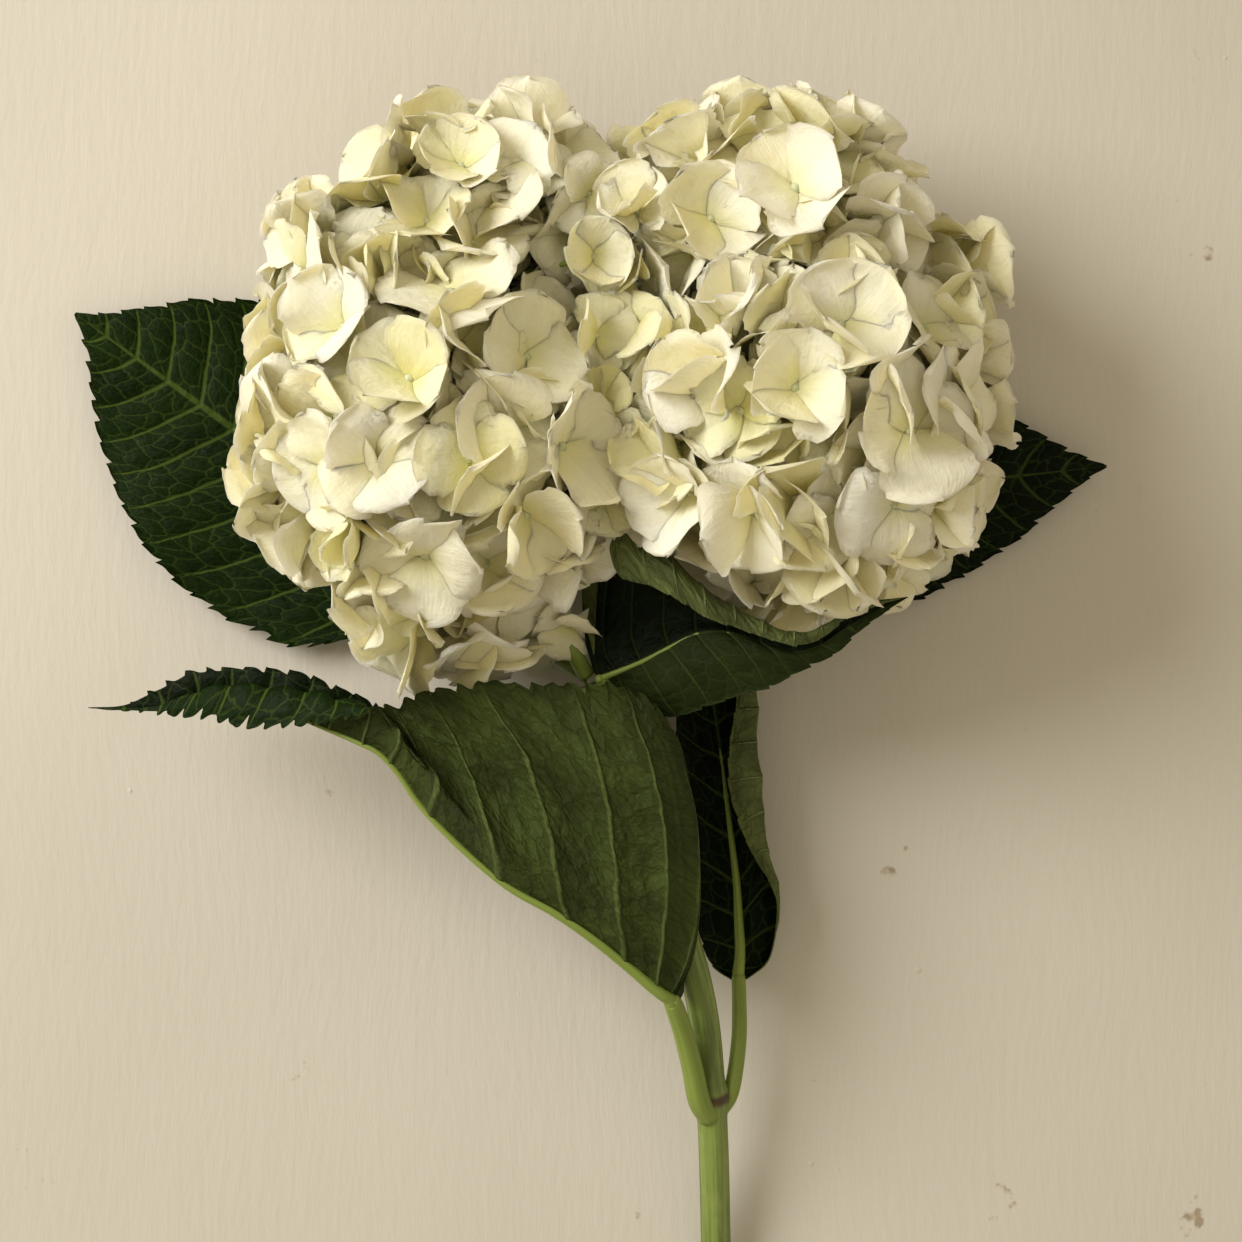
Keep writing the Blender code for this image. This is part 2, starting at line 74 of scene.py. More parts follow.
# Leaves, from the board up. teeth: how deep the left and the right margin are cut. faces: the materials of the left
# half's upper face, the lower face and the right half's upper face. relief: how much the blade puffs up between its
# side veins. radii: the stalk's, at the stem and at the blade. rib_taper: below 1 the midrib thins quickly.
# A flat leaf has a spine with half widths either side of it and a curl in degrees. A folded one has a net of points
# "x y z": each line follows a side vein, from the left margin over the midrib, which is point left_columns, to the
# right margin, and the lines run from the stalk to the tip.
LEAVES = {
    "leaf_upper_left": dict(
        stalk=[(-9, -15.5, 36), (-14.6, -12.5, 35), (-24, -8, 22), (-34, 0, 10)],
        radii=(2.6, 2.2), rib_taper=0.42, teeth=(2.7, 2.7), relief=1.0, faces=("upper", "under", "upper"),
        spine=[(-43, 7, 5.5), (-76, 29, 4), (-109.5, 53, 4), (-137, 73, 5), (-161.6, 91, 7)],
        half_widths=(48, 48), fullness=0.756, curl=[(0, 0), (6, 4), (8, -4), (5, 3), (6, 4)], veins=11,
    ),
    "leaf_upper_right": dict(
        stalk=[(-5, -12, 36), (4.6, -3, 33), (10, 10, 22), (15, 22, 12)],
        # both halves' upper face carry painted shade
        radii=(2.6, 2.2), rib_taper=0.42, teeth=(2.7, 2.7), relief=1.0, faces=("shaded", "under", "shaded"),
        spine=[(24, 31.5, 6), (54, 37, 4.5), (84, 40.5, 4), (112, 42.5, 4.5), (143.4, 45.7, 9)],
        half_widths=(37, 37), fullness=0.756, curl=[(0, 0), (5, 5), (6, -3), (5, 4), (4, 5)], veins=10,
    ),
    "leaf_lower_front": dict(
        stalk=[(25.5, -143.5, 21), (22.6, -138.5, 25.5), (20.4, -128, 30), (17.6, -117, 35)],
        # the right half's upper face carries painted shade
        radii=(3.7, 2.7), rib_taper=0.6, teeth=(3.2, 3.0), relief=1.5, faces=("upper", "under", "shaded"),
            scalloped=True,
        left_columns=4, points=7, net="""
    18 -104.5 32  17.5 -105.5 34  17 -106.5 36  16 -107.5 39  15 -108.5 40  14.5 -108 36  14.5 -108 33
    20 -51.5 26  22 -69 31  21.5 -85 38  19 -98 42  14 -107.5 41  15 -104.5 30  15.5 -103 22
    13 -27.5 51  20 -51.5 51  21.5 -74 49  19 -93 47  13.5 -106.5 42  14.5 -102 28  14.5 -99 19
    0.5 -17.5 56  9 -42 58  12.5 -63.5 56  12 -86 53  10 -104 44  12 -99 28  12 -96 17
    -14 -17 57  -5.5 -42.5 59  -2 -63.5 57  -0.5 -81.5 56  1.5 -96.5 46  3.5 -90.5 28  4 -86.5 14
    -40.5 -16.5 58  -28.5 -34 59  -21.5 -52 57  -17.5 -71.5 58  -14.5 -84 48  -12 -77.5 30  -12 -72.5 14
    -55 -19.5 59  -46.5 -31.5 58  -41 -45.5 56  -35 -62.5 60  -34 -72.5 48  -31.5 -66 32  -31.5 -61.5 15
    -64 -22.5 60  -60 -29.5 57  -55.5 -38 56  -50.5 -45 61  -53.5 -54.5 48  -50.5 -50 36  -50 -46.5 20
    -67.5 -23.5 63  -65 -26 61  -62.5 -29.5 57  -61 -33.5 60  -64.5 -39.5 50  -62 -36 42  -61 -32.5 32
    -72 -26.5 64  -70.5 -24 62  -69.5 -25 57  -71 -30.5 53  -72 -34.5 50  -69.5 -28.5 44  -68.5 -24 38
    -81.5 -28.5 56  -79.5 -24.5 56  -79.5 -22 52  -80.5 -27 49  -82 -30.5 47  -78.5 -24 44  -75.5 -20 43
    -94 -30 52  -90 -24.5 52  -88.5 -20 49  -90 -24 46  -91 -27 45  -88 -20.5 44  -87 -15 44
    -105 -30.5 47  -101.5 -24 48  -99.5 -19 45  -100 -21.5 44  -100.5 -23.5 43  -99 -17.5 43  -98.5 -13 43
    -115.5 -28.5 43  -112.5 -23.5 44  -110.5 -18.5 42  -110.5 -20.5 41  -110.5 -22 40  -110 -16 41  -110 -13 41
    -124.5 -27.5 39  -122.5 -24 40  -120.5 -20.5 39  -120.5 -21.5 38  -120.5 -22 37.5  -120.5 -17.5 39  -122 -13.5 38
    -132.5 -27 35  -131.5 -25.5 35.5  -131 -24 35  -130.5 -24.5 35  -130.5 -24.5 35  -131.5 -21.5 35  -133 -18.5 35
    -142.5 -26 31  -142.5 -25.5 31  -142.5 -25.5 31  -142.5 -25.5 31  -142.5 -25 31  -142.5 -24.5 31  -143 -24 31
    -154 -25 27  -154 -25 27  -154 -25 27  -154 -25 27  -154 -25 27  -154 -25 27  -154 -25 27
    """,
    ),
    "leaf_upper_front": dict(
        stalk=[(-5, -15.5, 39), (-1.5, -17.5, 42)],
        # the left half's upper face carries painted shade in its hollow, the lower face and the right half's upper
        # face painted light
        radii=(2.2, 1.7), rib_taper=0.42, teeth=(0.7, 1.1), relief=0.6, faces=("painted_cavity_shade", "painted_light_under", "painted_light_olive"),
        left_columns=5, points=8, net="""
    -8 -13.5 44  -7.5 -14 44  -7.5 -14.5 44  -7 -15 44  -7 -16 45  -6 -16.5 46  -5.5 -17 45  -5 -18.5 44
    -5.5 18 53  -8.5 17 50  -10.5 11.5 46  -10.5 1.5 43.5  -8 -7.5 44.5  -5 -16 46.5  -3.5 -19.5 43  -2 -23 40
    0.5 11.5 70  -1 20.5 69  -2 27 58  -4 8.5 46.5  -5 -7 45  -1.5 -14.5 47  1.5 -20.5 44  5.5 -26.5 42
    8 9.5 71  6.5 16.5 72  5.5 21.5 62  3.5 8.5 49  3 -4 46.5  5.5 -11.5 49  10.5 -19.5 49  15.5 -27 46
    16.5 5 71  14.5 13 73  13.5 18 63  12 8 51  12 -1 48.5  13 -7.5 51  20 -15.5 53  25 -24 49
    24 0.5 70  23 5.5 73  22 10 65  21 5.5 53  20.5 0.5 50.5  21 -3.5 53  28 -11.5 56  34 -20.5 52
    31.5 -2 69  31 1.5 71  30.5 4.5 64  30 2.5 55  29.5 -0.5 53  29.5 -3 56  35.5 -9.5 59  41 -19 55
    39 -4.5 69  38.5 -2 70  39 0 66  38.5 -1.5 60  38.5 -3.5 58  38.5 -6 59  43 -9.5 61  47 -15.5 57
    47.5 -7 68  47.5 -4.5 69  47.5 -3 66  47.5 -4.5 63  47.5 -6.5 61  47.5 -8.5 61  50 -10 62  53 -12.5 60
    55.5 -4.5 66  55 -2.5 67  55 -1.5 65  55 -3 64  55.5 -4.5 63  55 -6.5 63  57.5 -7.5 63  60 -8.5 62
    62.5 1 67  62.5 2.5 68  62.5 3.5 67  63 1.5 66  63 0 65  62.5 -1.5 65  64 -2.5 65  65.5 -3 64
    71 4.5 68  70.5 5 69  70 5.5 68  70.5 5 67  71 4.5 67  71 3.5 66  71.5 2.5 66  72 2 66
    78.5 6.5 68  78.5 6.5 68  78.5 6.5 68  78.5 6.5 68  78.5 6.5 68  78.5 6.5 68  78.5 6.5 68  78.5 6.5 68
    """,
    ),
    "leaf_lower_right": dict(
        stalk=[(28.4, -143, 19), (32.2, -137, 18.5), (34.4, -123, 17.4), (34.6, -112, 16)],
        # the upper faces carry painted shade, the lower face painted light
        radii=(2.6, 2.1), rib_taper=0.85, teeth=(1.2, 0.5), relief=0.35, faces=("shaded", "painted_light_under", "shaded"),
        left_columns=2, points=8, net="""
    31.5 -105 15  33 -105 15  34.5 -105 15.5  35 -105 15  35.5 -105 15  36 -105 15  36.5 -105 15  37 -105 15.5
    26.5 -101 13  30.5 -102.5 12  34.5 -103 15  36.5 -102 13  39.5 -102 12  41.5 -101 13  43 -99.5 15  43.5 -98.5 16
    23 -93 11  29 -95 11  35 -96.5 14.5  38 -94 12  42 -91 11.5  45.5 -89 14.5  46 -86.5 18  45.5 -84.5 19
    20.5 -81 10  27.5 -84 10  34.5 -86.5 14  38.5 -83 11  42.5 -78.5 12  45.5 -77 17  45.5 -76 20.5  43.5 -77 21
    19 -68 10  27 -73 10  34 -77 13  37.5 -73 11  40.5 -68 13  43 -67 19  41 -66.5 22  38.5 -68.5 22.5
    17.5 -53.5 11  25.5 -59.5 10  32.5 -64 12.5  36 -60 11  39.5 -57 13.5  41.5 -55.5 20  38.5 -56 23  34 -58.5 22.5
    16 -42 12  24 -47.5 10.5  31 -52 12  34.5 -49 11  38 -47 14  41 -45.5 20  37 -45.5 23  31 -46.5 22
    16 -31.5 13  22.5 -37 11  29.5 -40.5 12  33 -37.5 11.5  36.5 -36.5 14.5  39.5 -35.5 20  35.5 -35.5 22  31.5 -36 21
    16 -21.5 13  22 -27 11.5  28 -30.5 12.5  32 -27.5 12  36 -26 15  40 -25.5 19  37 -25.5 21  33 -25.5 21
    17.5 -14 14  22 -18 12.5  26.5 -20.5 13.5  29.5 -19 13  33.5 -17.5 15  38 -16 18  36 -16.5 20  33 -18 20
    20 -7 15  22.5 -9 14  25 -10.5 15  26.5 -9 15  28.5 -8 16  30 -7 17  29 -7.5 18  28 -8 18
    24.5 -2 16  24.5 -2 16  24.5 -2 16  24.5 -2 16  24.5 -2 16  24.5 -2 16  24.5 -2 16  24.5 -2 16
    """,
    ),
}
LEAF_FACES = {
    # colours of the blade and its veins, roughness, and whether it is the upper face
    "under": ("leaf_lower_face", (0.036, 0.050, 0.010), (0.082, 0.110, 0.029), 0.62, False),
    "upper": ("leaf_upper_face", (0.0044, 0.0128, 0.0008), (0.046, 0.076, 0.011), 0.55, True),
    # painted light: a lighter copy of the lower face, for the curled leaf's lip and the lower right leaf's band,
    # which face the light
    "painted_light_under": ("leaf_lower_face_painted_light", (0.100, 0.122, 0.040), (0.165, 0.200, 0.070), 0.62, False),
    # painted shade: a darker copy of the upper face, for the leaf halves that lie in shade
    "shaded": ("leaf_upper_face_painted_shade", (0.0022, 0.0058, 0.0008), (0.034, 0.054, 0.012), 0.55, True),
    # painted shade: a near-black copy of the upper face, with dimmer veins, for the curled leaf's hollow
    "painted_cavity_shade": ("leaf_upper_face_painted_cavity_shade", (0.0018, 0.0048, 0.0006), (0.012, 0.020, 0.004), 0.55, True),
    # painted light: a lighter copy of the upper face, for the curled leaf's lit right half
    "painted_light_olive": ("leaf_upper_face_painted_light_olive", (0.016, 0.025, 0.005), (0.036, 0.050, 0.012), 0.6, True),
}
LEAF_STATIONS = 320
LEAF_COLUMNS = 20  # from the midrib to each margin
TOOTH_PITCH, SCALLOP_PITCH = 6.6, 5.2
TEETH_SHARE = 0.22  # the outermost share of a half blade, which the teeth shape
LEAF_THICKNESS = 0.35
THINNEST_RIB = 0.28
VEIN_UNIT = 20.0  # side veins in one unit of the leaf map

# Chief florets: x, y, radius, lift above the head's surface, lean of the face to +x and +y, greenness, mood.
LEFT_CHIEFS = [
    (-47.0, 82.0, 17.5, 7, -0.25, 0.15, 0.0, "flat"), (-28.5, 98.0, 15.0, 4, 0.1, 0.2, 0.0, "cupped"),
    (-22.0, 84.0, 14.0, 1, 0.1, -0.3, 0.1, "flat"), (-28.5, 69.0, 14.5, 4, 0.05, -0.15, 0.15, "flat"),
    (-41.0, 43.5, 13.5, 2, 0.0, 0.0, 0.40, "flat"), (-21.5, 47.5, 16.5, 6, 0.25, 0.1, 0.0, "cupped"),
    (-72.5, 76.0, 15.0, 4, -0.1, -0.25, 0.1, "upright"), (-76.5, 42.0, 14.0, 2, -0.1, -0.1, 0.2, "flat"),
    (-56.0, 64.0, 14.5, 0, -0.1, 0.0, 0.35, "cupped"), (-86.0, 82.0, 13.0, 1, -0.2, 0.2, 0.15, "flat"),
    (-44.0, 125.0, 12.5, 1, 0.0, 0.2, 0.25, "cupped"), (-26.5, 128.0, 12.5, 0, 0.1, 0.2, 0.2, "reflexed"),
    (-53.5, 108.0, 13.0, 1, -0.1, 0.3, 0.25, "cupped"), (-28.5, 31.0, 15.0, 4, 0.1, 0.0, 0.15, "cupped"),
    (-37.5, 16.0, 14.5, 1, 0.1, -0.2, 0.05, "upright"), (-52.5, 21.0, 15.0, 2, -0.1, -0.1, 0.1, "reflexed"),
    (-70.5, 26.5, 13.5, 0, -0.1, -0.2, 0.55, "cupped"), (-30.5, 10.0, 13.5, 0, 0.1, -0.1, 0.05, "flat"),
    (-42.0, -2.0, 14.5, 0, 0.0, -0.3, 0.0, "reflexed"), (-26.0, 1.0, 13.5, 0, 0.1, -0.3, 0.0, "reflexed"),
]
RIGHT_CHIEFS = [
    (8.0, 96.5, 14.5, 4, -0.2, 0.1, 0.0, "flat"), (24.5, 109.5, 14.0, 2, 0.1, 0.2, 0.1, "cupped"),
    (47.0, 115.0, 16.0, 4, -0.1, 0.3, 0.0, "cupped"), (62.0, 96.5, 16.0, 5, 0.1, -0.1, 0.15, "flat"),
    (37.0, 91.0, 14.5, 0, -0.1, -0.2, 0.2, "reflexed"), (24.0, 70.5, 13.0, 0, 0.1, 0.0, 0.5, "cupped"),
    (33.0, 55.5, 12.5, 0, 0.0, 0.1, 0.5, "flat"), (46.5, 60.5, 14.0, 2, -0.1, -0.2, 0.2, "cupped"),
    (57.0, 74.0, 15.5, 5, 0.0, 0.0, 0.05, "cupped"), (2.5, 61.0, 13.5, 3, -0.2, 0.1, 0.15, "cupped"),
    (22.5, 36.5, 15.5, 4, -0.1, 0.1, 0.0, "upright"), (36.5, 31.5, 15.5, 3, -0.1, -0.1, 0.0, "upright"),
    (58.0, 27.0, 15.0, 1, 0.1, -0.1, 0.0, "flat"), (73.0, 50.5, 17.0, 6, 0.1, 0.2, 0.0, "flat"),
    (70.0, 34.0, 15.0, 3, 0.1, -0.1, 0.0, "reflexed"), (19.5, 26.0, 13.5, -1, -0.1, -0.1, 0.0, "flat"),
    (80.0, 78.0, 14.5, 2, 0.1, 0.1, 0.1, "reflexed"), (89.0, 60.0, 14.5, 2, 0.2, 0.0, 0.05, "flat"),
]
# Florets in the valley between the heads: x, y, z, radius, lean to +x and +y, greenness, mood.
LEFT_VALLEY = [
    (-6.5, 61.0, 66, 10.5, 0.3, 0.1, 0.60, "cupped"), (-3.5, 34.0, 70, 12.0, 0.2, 0.0, 0.35, "cupped"),
    (-9.0, 118.0, 58, 13.0, 0.3, 0.3, 0.15, "reflexed"), (-7.0, 78.0, 66, 12.0, 0.4, 0.1, 0.35, "flat"),
    (-12.0, 22.0, 62, 13.0, 0.3, -0.3, 0.10, "flat"), (-15.0, -1.0, 45, 11.0, 0.3, -0.7, 0.15, "reflexed"),
        (-8.0, 100.0, 64, 12.0, 0.4, 0.0, 0.30, "cupped"),
]
RIGHT_VALLEY = [
    (4.5, 113.0, 62, 13.0, -0.3, 0.3, 0.10, "cupped"), (3.0, 80.0, 66, 12.5, -0.4, 0.1, 0.30, "reflexed"),
    (4.0, 46.0, 70, 13.0, -0.4, 0.0, 0.20, "flat"), (6.0, 31.0, 64, 12.0, -0.3, -0.1, 0.05, "flat"),
    (1.0, 98.0, 56, 12.0, -0.1, 0.0, 0.45, "cupped"),
]
CHIEF_SCALE = 1.17
SEPAL_RISE = 8.0  # how far the sepals stand out from a floret's middle
SURFACE_POINTS, SURFACE_SPACING = 215, 15.5
FILL_POINTS, FILL_SPACING, FILL_DEPTH = 90, 15.0, 7
# How far below its first place and how much smaller a floret is tried: chief, valley, surface and deeper ones.
CHIEF_DEPTHS = ((0, 1), (-2, 1))
VALLEY_DEPTHS = ((0, 1), (3, 1))
SURFACE_DEPTHS = ((0, 1), (2.5, 0.97), (5, 0.92), (8, 0.86))
FILL_DEPTHS = ((0, 1), (3, 0.9))
ENOUGH_ROOM = 2  # crossings of a floret that end the search
BLADE_TILE = 6  # stations of a leaf in one of the tiles that florets keep clear of
FLORETS_IN_HEAD = 26  # packed ones
MOODS = {
    # openness, bend along, cup across: each a lowest and a highest value, in radians
    "flat": ((0.02, 0.22), (-0.35, 0.30), (-0.40, 0.40)),
    "cupped": ((0.20, 0.50), (0.00, 0.50), (0.10, 0.60)),
    "reflexed": ((0.20, 0.60), (-1.15, -0.40), (-0.6, 0.4)),
    "upright": ((0.65, 1.05), (-0.90, 0.10), (-0.4, 0.6)),
}
SURFACE_MOODS = ("flat", "flat", "cupped", "reflexed", "reflexed", "upright")
SURFACE_GREENS = (0.0, 0.03, 0.08, 0.16, 0.28)
TILT_TRIES = (0.0, 0.15, -0.15, 0.35, 0.6)
TOLERATED = 1  # crossings of two coarse sepals that pass for a touch
PROXY_SIZE = (6, 5)  # rows and columns of the coarse sepals that stand in for the real ones
SEPAL_ROWS, SEPAL_COLUMNS = 13, 11
SEPAL_THICKNESS = 0.3

# ---- stage, metres
BOARD_HALF = 3.0
WINDOW_PLACE, WINDOW_TARGET, WINDOW_SIZE = (-1.02, 0.62, 0.90), (0, 0.02, 0.03), 0.9
WINDOW_POWER, WINDOW_SPREAD, WINDOW_COLOUR = 10.2, math.radians(125.0), (1.0, 0.98, 0.95)
ROOM_COLOUR, ROOM_STRENGTH = (1.0, 0.88, 0.66, 1), 0.55
CAMERA_HEIGHT = 800  # in the sketch
CAMERA_ANGLE = math.radians(26.1)


# ---- the frame
def spline(points, t):
    """The Catmull-Rom curve through points at every value of the array t, from 0 to 1."""
    p = np.array(points, float)
    p = p[:, None] if p.ndim == 1 else p
    p = np.vstack([2 * p[0] - p[1], p, 2 * p[-1] - p[-2]])
    place = np.clip(np.atleast_1d(t), 0, 1) * (len(p) - 3)
    i = np.minimum(place.astype(int), len(p) - 4)
    f = (place - i)[:, None]
    a, b, c, d = p[i], p[i + 1], p[i + 2], p[i + 3]
    return 0.5 * (2 * b + (c - a) * f + (2 * a - 5 * b + 4 * c - d) * f**2 + (3 * b - a - 3 * c + d) * f**3)


def frame_offset():
    """The sketch point at the row's origin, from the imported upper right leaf's tip and the stem's cut end."""
    tip_x = LEAVES["leaf_upper_right"]["spine"][-1][0]
    lowest_y = STEM_PATH[0][1] - STEM_RADIUS * math.tan(CUT_SLANT)
    return np.array((
        tip_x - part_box("leaf_upper_right")[1][0] * 1000, lowest_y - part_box("main_stem")[0][1] * 1000, BOARD_Z))


SKETCH_ORIGIN = frame_offset()


def to_row(points):
    """Sketch millimetres to the row's metres."""
    return (np.asarray(points) - SKETCH_ORIGIN) / 1000


def unit(v):
    """The vector, or each of an array's vectors, at length 1."""
    return v / np.maximum(np.linalg.norm(v, axis=-1, keepdims=True), 1e-9)


def visible_piece(node, points, faces, uvs, materials, material_index=None, tint=None):
    """A piece from sketch points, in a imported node's place. uvs maps a layer's name to one (u, v) per point."""
    name = PIECE_NAMES.get(node, node + "_detail")
    mesh = bpy.data.meshes.new(name)
    points = np.array(points, float)
    points[:, 2] = np.maximum(points[:, 2], SKETCH_ORIGIN[2] + BOARD_GAP)
    placed = to_row(points)
    middle = placed.mean(axis=0)
    mesh.from_pydata((placed - middle).tolist(), [], faces)
    mesh.shade_smooth()
    for material in materials:
        mesh.materials.append(material)
    if material_index is not None:
        mesh.polygons.foreach_set("material_index", np.asarray(material_index, np.int32))
    corner = np.empty(len(mesh.loops), np.int32)
    mesh.loops.foreach_get("vertex_index", corner)
    for layer_name, values in uvs.items():
        layer = mesh.uv_layers.new(name=layer_name)
        layer.uv.foreach_set("vector", np.asarray(values, np.float32)[corner].ravel())
    if tint is not None:
        layer = mesh.color_attributes.new("tint", "FLOAT_COLOR", "POINT")
        layer.data.foreach_set("color", np.asarray(tint, np.float32).ravel())
    mesh.update()
    made = bpy.data.objects.new(name, mesh)
    made.location = middle.tolist()
    bpy.context.scene.collection.objects.link(made)
    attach(made, "root")
    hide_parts(node)


PIECE_NAMES = {"main_stem": "stem"}


def grid_faces(rows, columns, start=0, closed=False):
    """Quads between rows of points. closed joins each row's last point to its first."""
    faces = []
    span = columns if closed else columns - 1
    for r in range(rows - 1):
        for c in range(span):
            a = start + r * columns + c
            b = start + r * columns + (c + 1) % columns
            faces.append((a, b, b + columns, a + columns))
    return faces


# ---- materials
class Shader:
    """Wires a material: every method returns the socket of a new node. A value is a number or another socket."""

    def __init__(self, name):
        self.material = bpy.data.materials.new(name)
        self.material.use_nodes = True
        self.tree = self.material.node_tree
        self.out = self.tree.nodes["Principled BSDF"]
        self.out.inputs["Metallic"].default_value = 0

    def add(self, kind, inputs=(), **settings):
        """A node with its settings, and with what its inputs are fed, by name or number."""
        node = self.tree.nodes.new(kind)
        for key, value in settings.items():
            setattr(node, key, value)
        for key, value in inputs:
            self.feed(node.inputs[key], value)
        return node

    def feed(self, socket, value):
        if isinstance(value, bpy.types.NodeSocket):
            self.tree.links.new(value, socket)
        else:
            socket.default_value = value

    def set(self, name, value):
        self.feed(self.out.inputs[name], value)

    def math(self, operation, a, b, clamp=False):
        return self.add("ShaderNodeMath", ((0, a), (1, b)), operation=operation, use_clamp=clamp).outputs[0]

    def times(self, a, b):
        return self.math("MULTIPLY", a, b)

    def plus(self, a, b, clamp=False):
        return self.math("ADD", a, b, clamp)

    def minus(self, a, b):
        return self.math("SUBTRACT", a, b)

    def size(self, a):
        return self.math("ABSOLUTE", a, 0.0)

    def ramp(self, value, low, high, to_low=0.0, to_high=1.0):
        """value from low to high becomes to_low to to_high, smoothly, and is clamped."""
        inputs = (("Value", value), ("From Min", low), ("From Max", high), ("To Min", to_low), ("To Max", to_high))
        return self.add("ShaderNodeMapRange", inputs, interpolation_type="SMOOTHSTEP").outputs[0]

    def mix(self, factor, a, b):
        """Colour a, or b where factor is 1."""
        a, b = (c if isinstance(c, bpy.types.NodeSocket) else (*c, 1) for c in (a, b))
        node = self.add("ShaderNodeMix", data_type="RGBA")
        for key, value in (("Factor", factor), ("A", a), ("B", b)):
            self.feed(node.inputs[key], value)
        return node.outputs["Result"]

    def uv(self, name):
        return self.add("ShaderNodeUVMap", uv_map=name).outputs["UV"]

    def object_place(self):
        return self.add("ShaderNodeTexCoord").outputs["Object"]

    def split(self, vector):
        return self.add("ShaderNodeSeparateXYZ", ((0, vector),)).outputs

    def join(self, *values):
        return self.add("ShaderNodeCombineXYZ", enumerate(values)).outputs[0]

    def stretch(self, *pairs):
        """The vector whose parts are each pair's product."""
        return self.join(*(self.times(a, b) for a, b in pairs))

    def noise(self, vector, scale, detail=3.0, roughness=0.5):
        inputs = (("Vector", vector), ("Scale", scale), ("Detail", detail), ("Roughness", roughness))
        return self.add("ShaderNodeTexNoise", inputs).outputs["Fac"]

    def cells(self, vector, scale):
        """The distance to the nearest edge between cells."""
        node = self.add("ShaderNodeTexVoronoi", feature="DISTANCE_TO_EDGE", voronoi_dimensions="2D")
        self.feed(node.inputs["Vector"], vector)
        self.feed(node.inputs["Scale"], scale)
        return node.outputs["Distance"]

    def bump(self, height, strength, distance):
        node = self.add("ShaderNodeBump", (("Strength", strength), ("Distance", distance), ("Height", height)))
        self.feed(self.out.inputs["Normal"], node.outputs[0])


def leaf_material(name, face, vein, roughness, upper):
    """A leaf's face: netted veins over a mottled green. The upper one has sunken veins, the lower raised ones."""
    s = Shader(name)
    across, row, _ = s.split(s.uv("Leaf"))
    flat = s.uv("Flat")
    side = s.size(s.minus(s.times(across, 2.0), 1.0))
    wobble = s.times(s.minus(s.noise(flat, 9.0), 0.5), 0.22)
    phase = s.plus(s.plus(s.times(row, VEIN_UNIT), wobble), 0.5)
    from_vein = s.size(s.minus(s.math("FRACT", phase, 0.0), 0.5))
    width = s.plus(s.times(side, -0.035), 0.062)
    secondary = s.ramp(from_vein, s.times(width, 1.5), s.times(width, 0.35))
    secondary = s.times(secondary, s.ramp(side, 1.0, 0.84, 0.15, 1.0))
    midrib = s.ramp(side, 0.035, 0.012)
    twist = s.stretch((s.noise(flat, 30.0), 0.03), (s.noise(flat, 26.0), 0.03))
    bent = s.add("ShaderNodeVectorMath", ((0, flat), (1, twist)), operation="ADD").outputs[0]
    cell, small_cell = s.cells(bent, 17.0), s.cells(bent, 46.0)
    net, fine = s.ramp(cell, 0.075, 0.0), s.ramp(small_cell, 0.10, 0.0)
    mottle = s.noise(flat, 7.0, 5.0)
    contrast, net_share, fine_share, specular = (0.22, 0.42, 0.12, 0.07) if upper else (0.34, 0.50, 0.28, 0.10)
    dark, light, crack = (tuple(c * share for c in face) for share in (1 - contrast, 1 + contrast, 0.45))
    colour = s.mix(s.ramp(mottle, 0.3, 0.7), dark, light)
    web = s.math("MAXIMUM", s.times(net, net_share), s.times(fine, fine_share))
    colour = s.mix(web, colour, vein if upper else crack)
    colour = s.mix(s.times(s.math("MAXIMUM", secondary, midrib), 0.9), colour, vein)
    s.set("Base Color", colour)
    s.set("Roughness", s.ramp(mottle, 0.2, 0.8, roughness - 0.06, roughness + 0.08))
    s.set("Specular IOR Level", specular)
    quilt = s.plus(s.times(cell, 1.3), s.times(small_cell, 0.4))
    if upper:
        s.bump(s.minus(quilt, s.times(secondary, 0.4)), 0.7, 0.0008)
    else:
        s.bump(s.minus(s.times(secondary, 0.6), quilt), 1.0, 0.0012)
    return s.material


def sepal_material():
    """Cream sepals: yellow-green towards the claw and deep in the head, partly their own green and partly painted
    shade, finely veined, a few brown specks.

    The tint attribute holds each sepal's greenness, how far out along it a point is, and a number of its own.
    """
    s = Shader("sepal_white")
    green, reach, shade = s.split(s.add("ShaderNodeAttribute", attribute_name="tint").outputs["Vector"])
    across, along, _ = s.split(s.uv("Sepal"))
    # partly the sepals' own green, partly painted shade: more yellow-green towards the claw and on greener, deeper
    # florets
    amount = s.plus(s.ramp(reach, 0.55, 0.0, 0.0, 0.62), green, clamp=True)
    white = s.mix(shade, (0.89, 0.825, 0.565), (0.94, 0.90, 0.73))
    deep = s.mix(shade, (0.73, 0.67, 0.25), (0.73, 0.71, 0.33))
    colour = s.mix(amount, white, deep)
    fan = s.times(s.minus(across, 0.5), s.minus(1.25, s.times(along, 0.35)))
    streak = s.noise(s.stretch((fan, 30.0), (along, 2.2), (shade, 9.0)), 1.0, 4.0, 0.6)
    colour = s.mix(s.ramp(streak, 0.50, 0.68, 0.0, 0.30), colour, (0.78, 0.72, 0.46))
    blotch = s.noise(s.stretch((across, 3.0), (along, 3.0), (shade, 31.0)), 3.0, 4.0)
    s.set("Base Color", s.mix(s.ramp(blotch, 0.74, 0.80, 0.0, 0.45), colour, (0.45, 0.30, 0.13)))
    s.set("Roughness", 0.62)
    s.set("Specular IOR Level", 0.2)
    s.set("Subsurface Weight", 0.65)
    s.set("Subsurface Radius", (1.0, 0.9, 0.72))
    s.set("Subsurface Scale", 0.0010)
    crinkle = s.noise(s.stretch((across, 5.0), (along, 4.0), (shade, 17.0)), 1.4, 3.0)
    s.bump(s.plus(s.times(streak, 0.5), crinkle), 0.55, 0.0010)
    return s.material


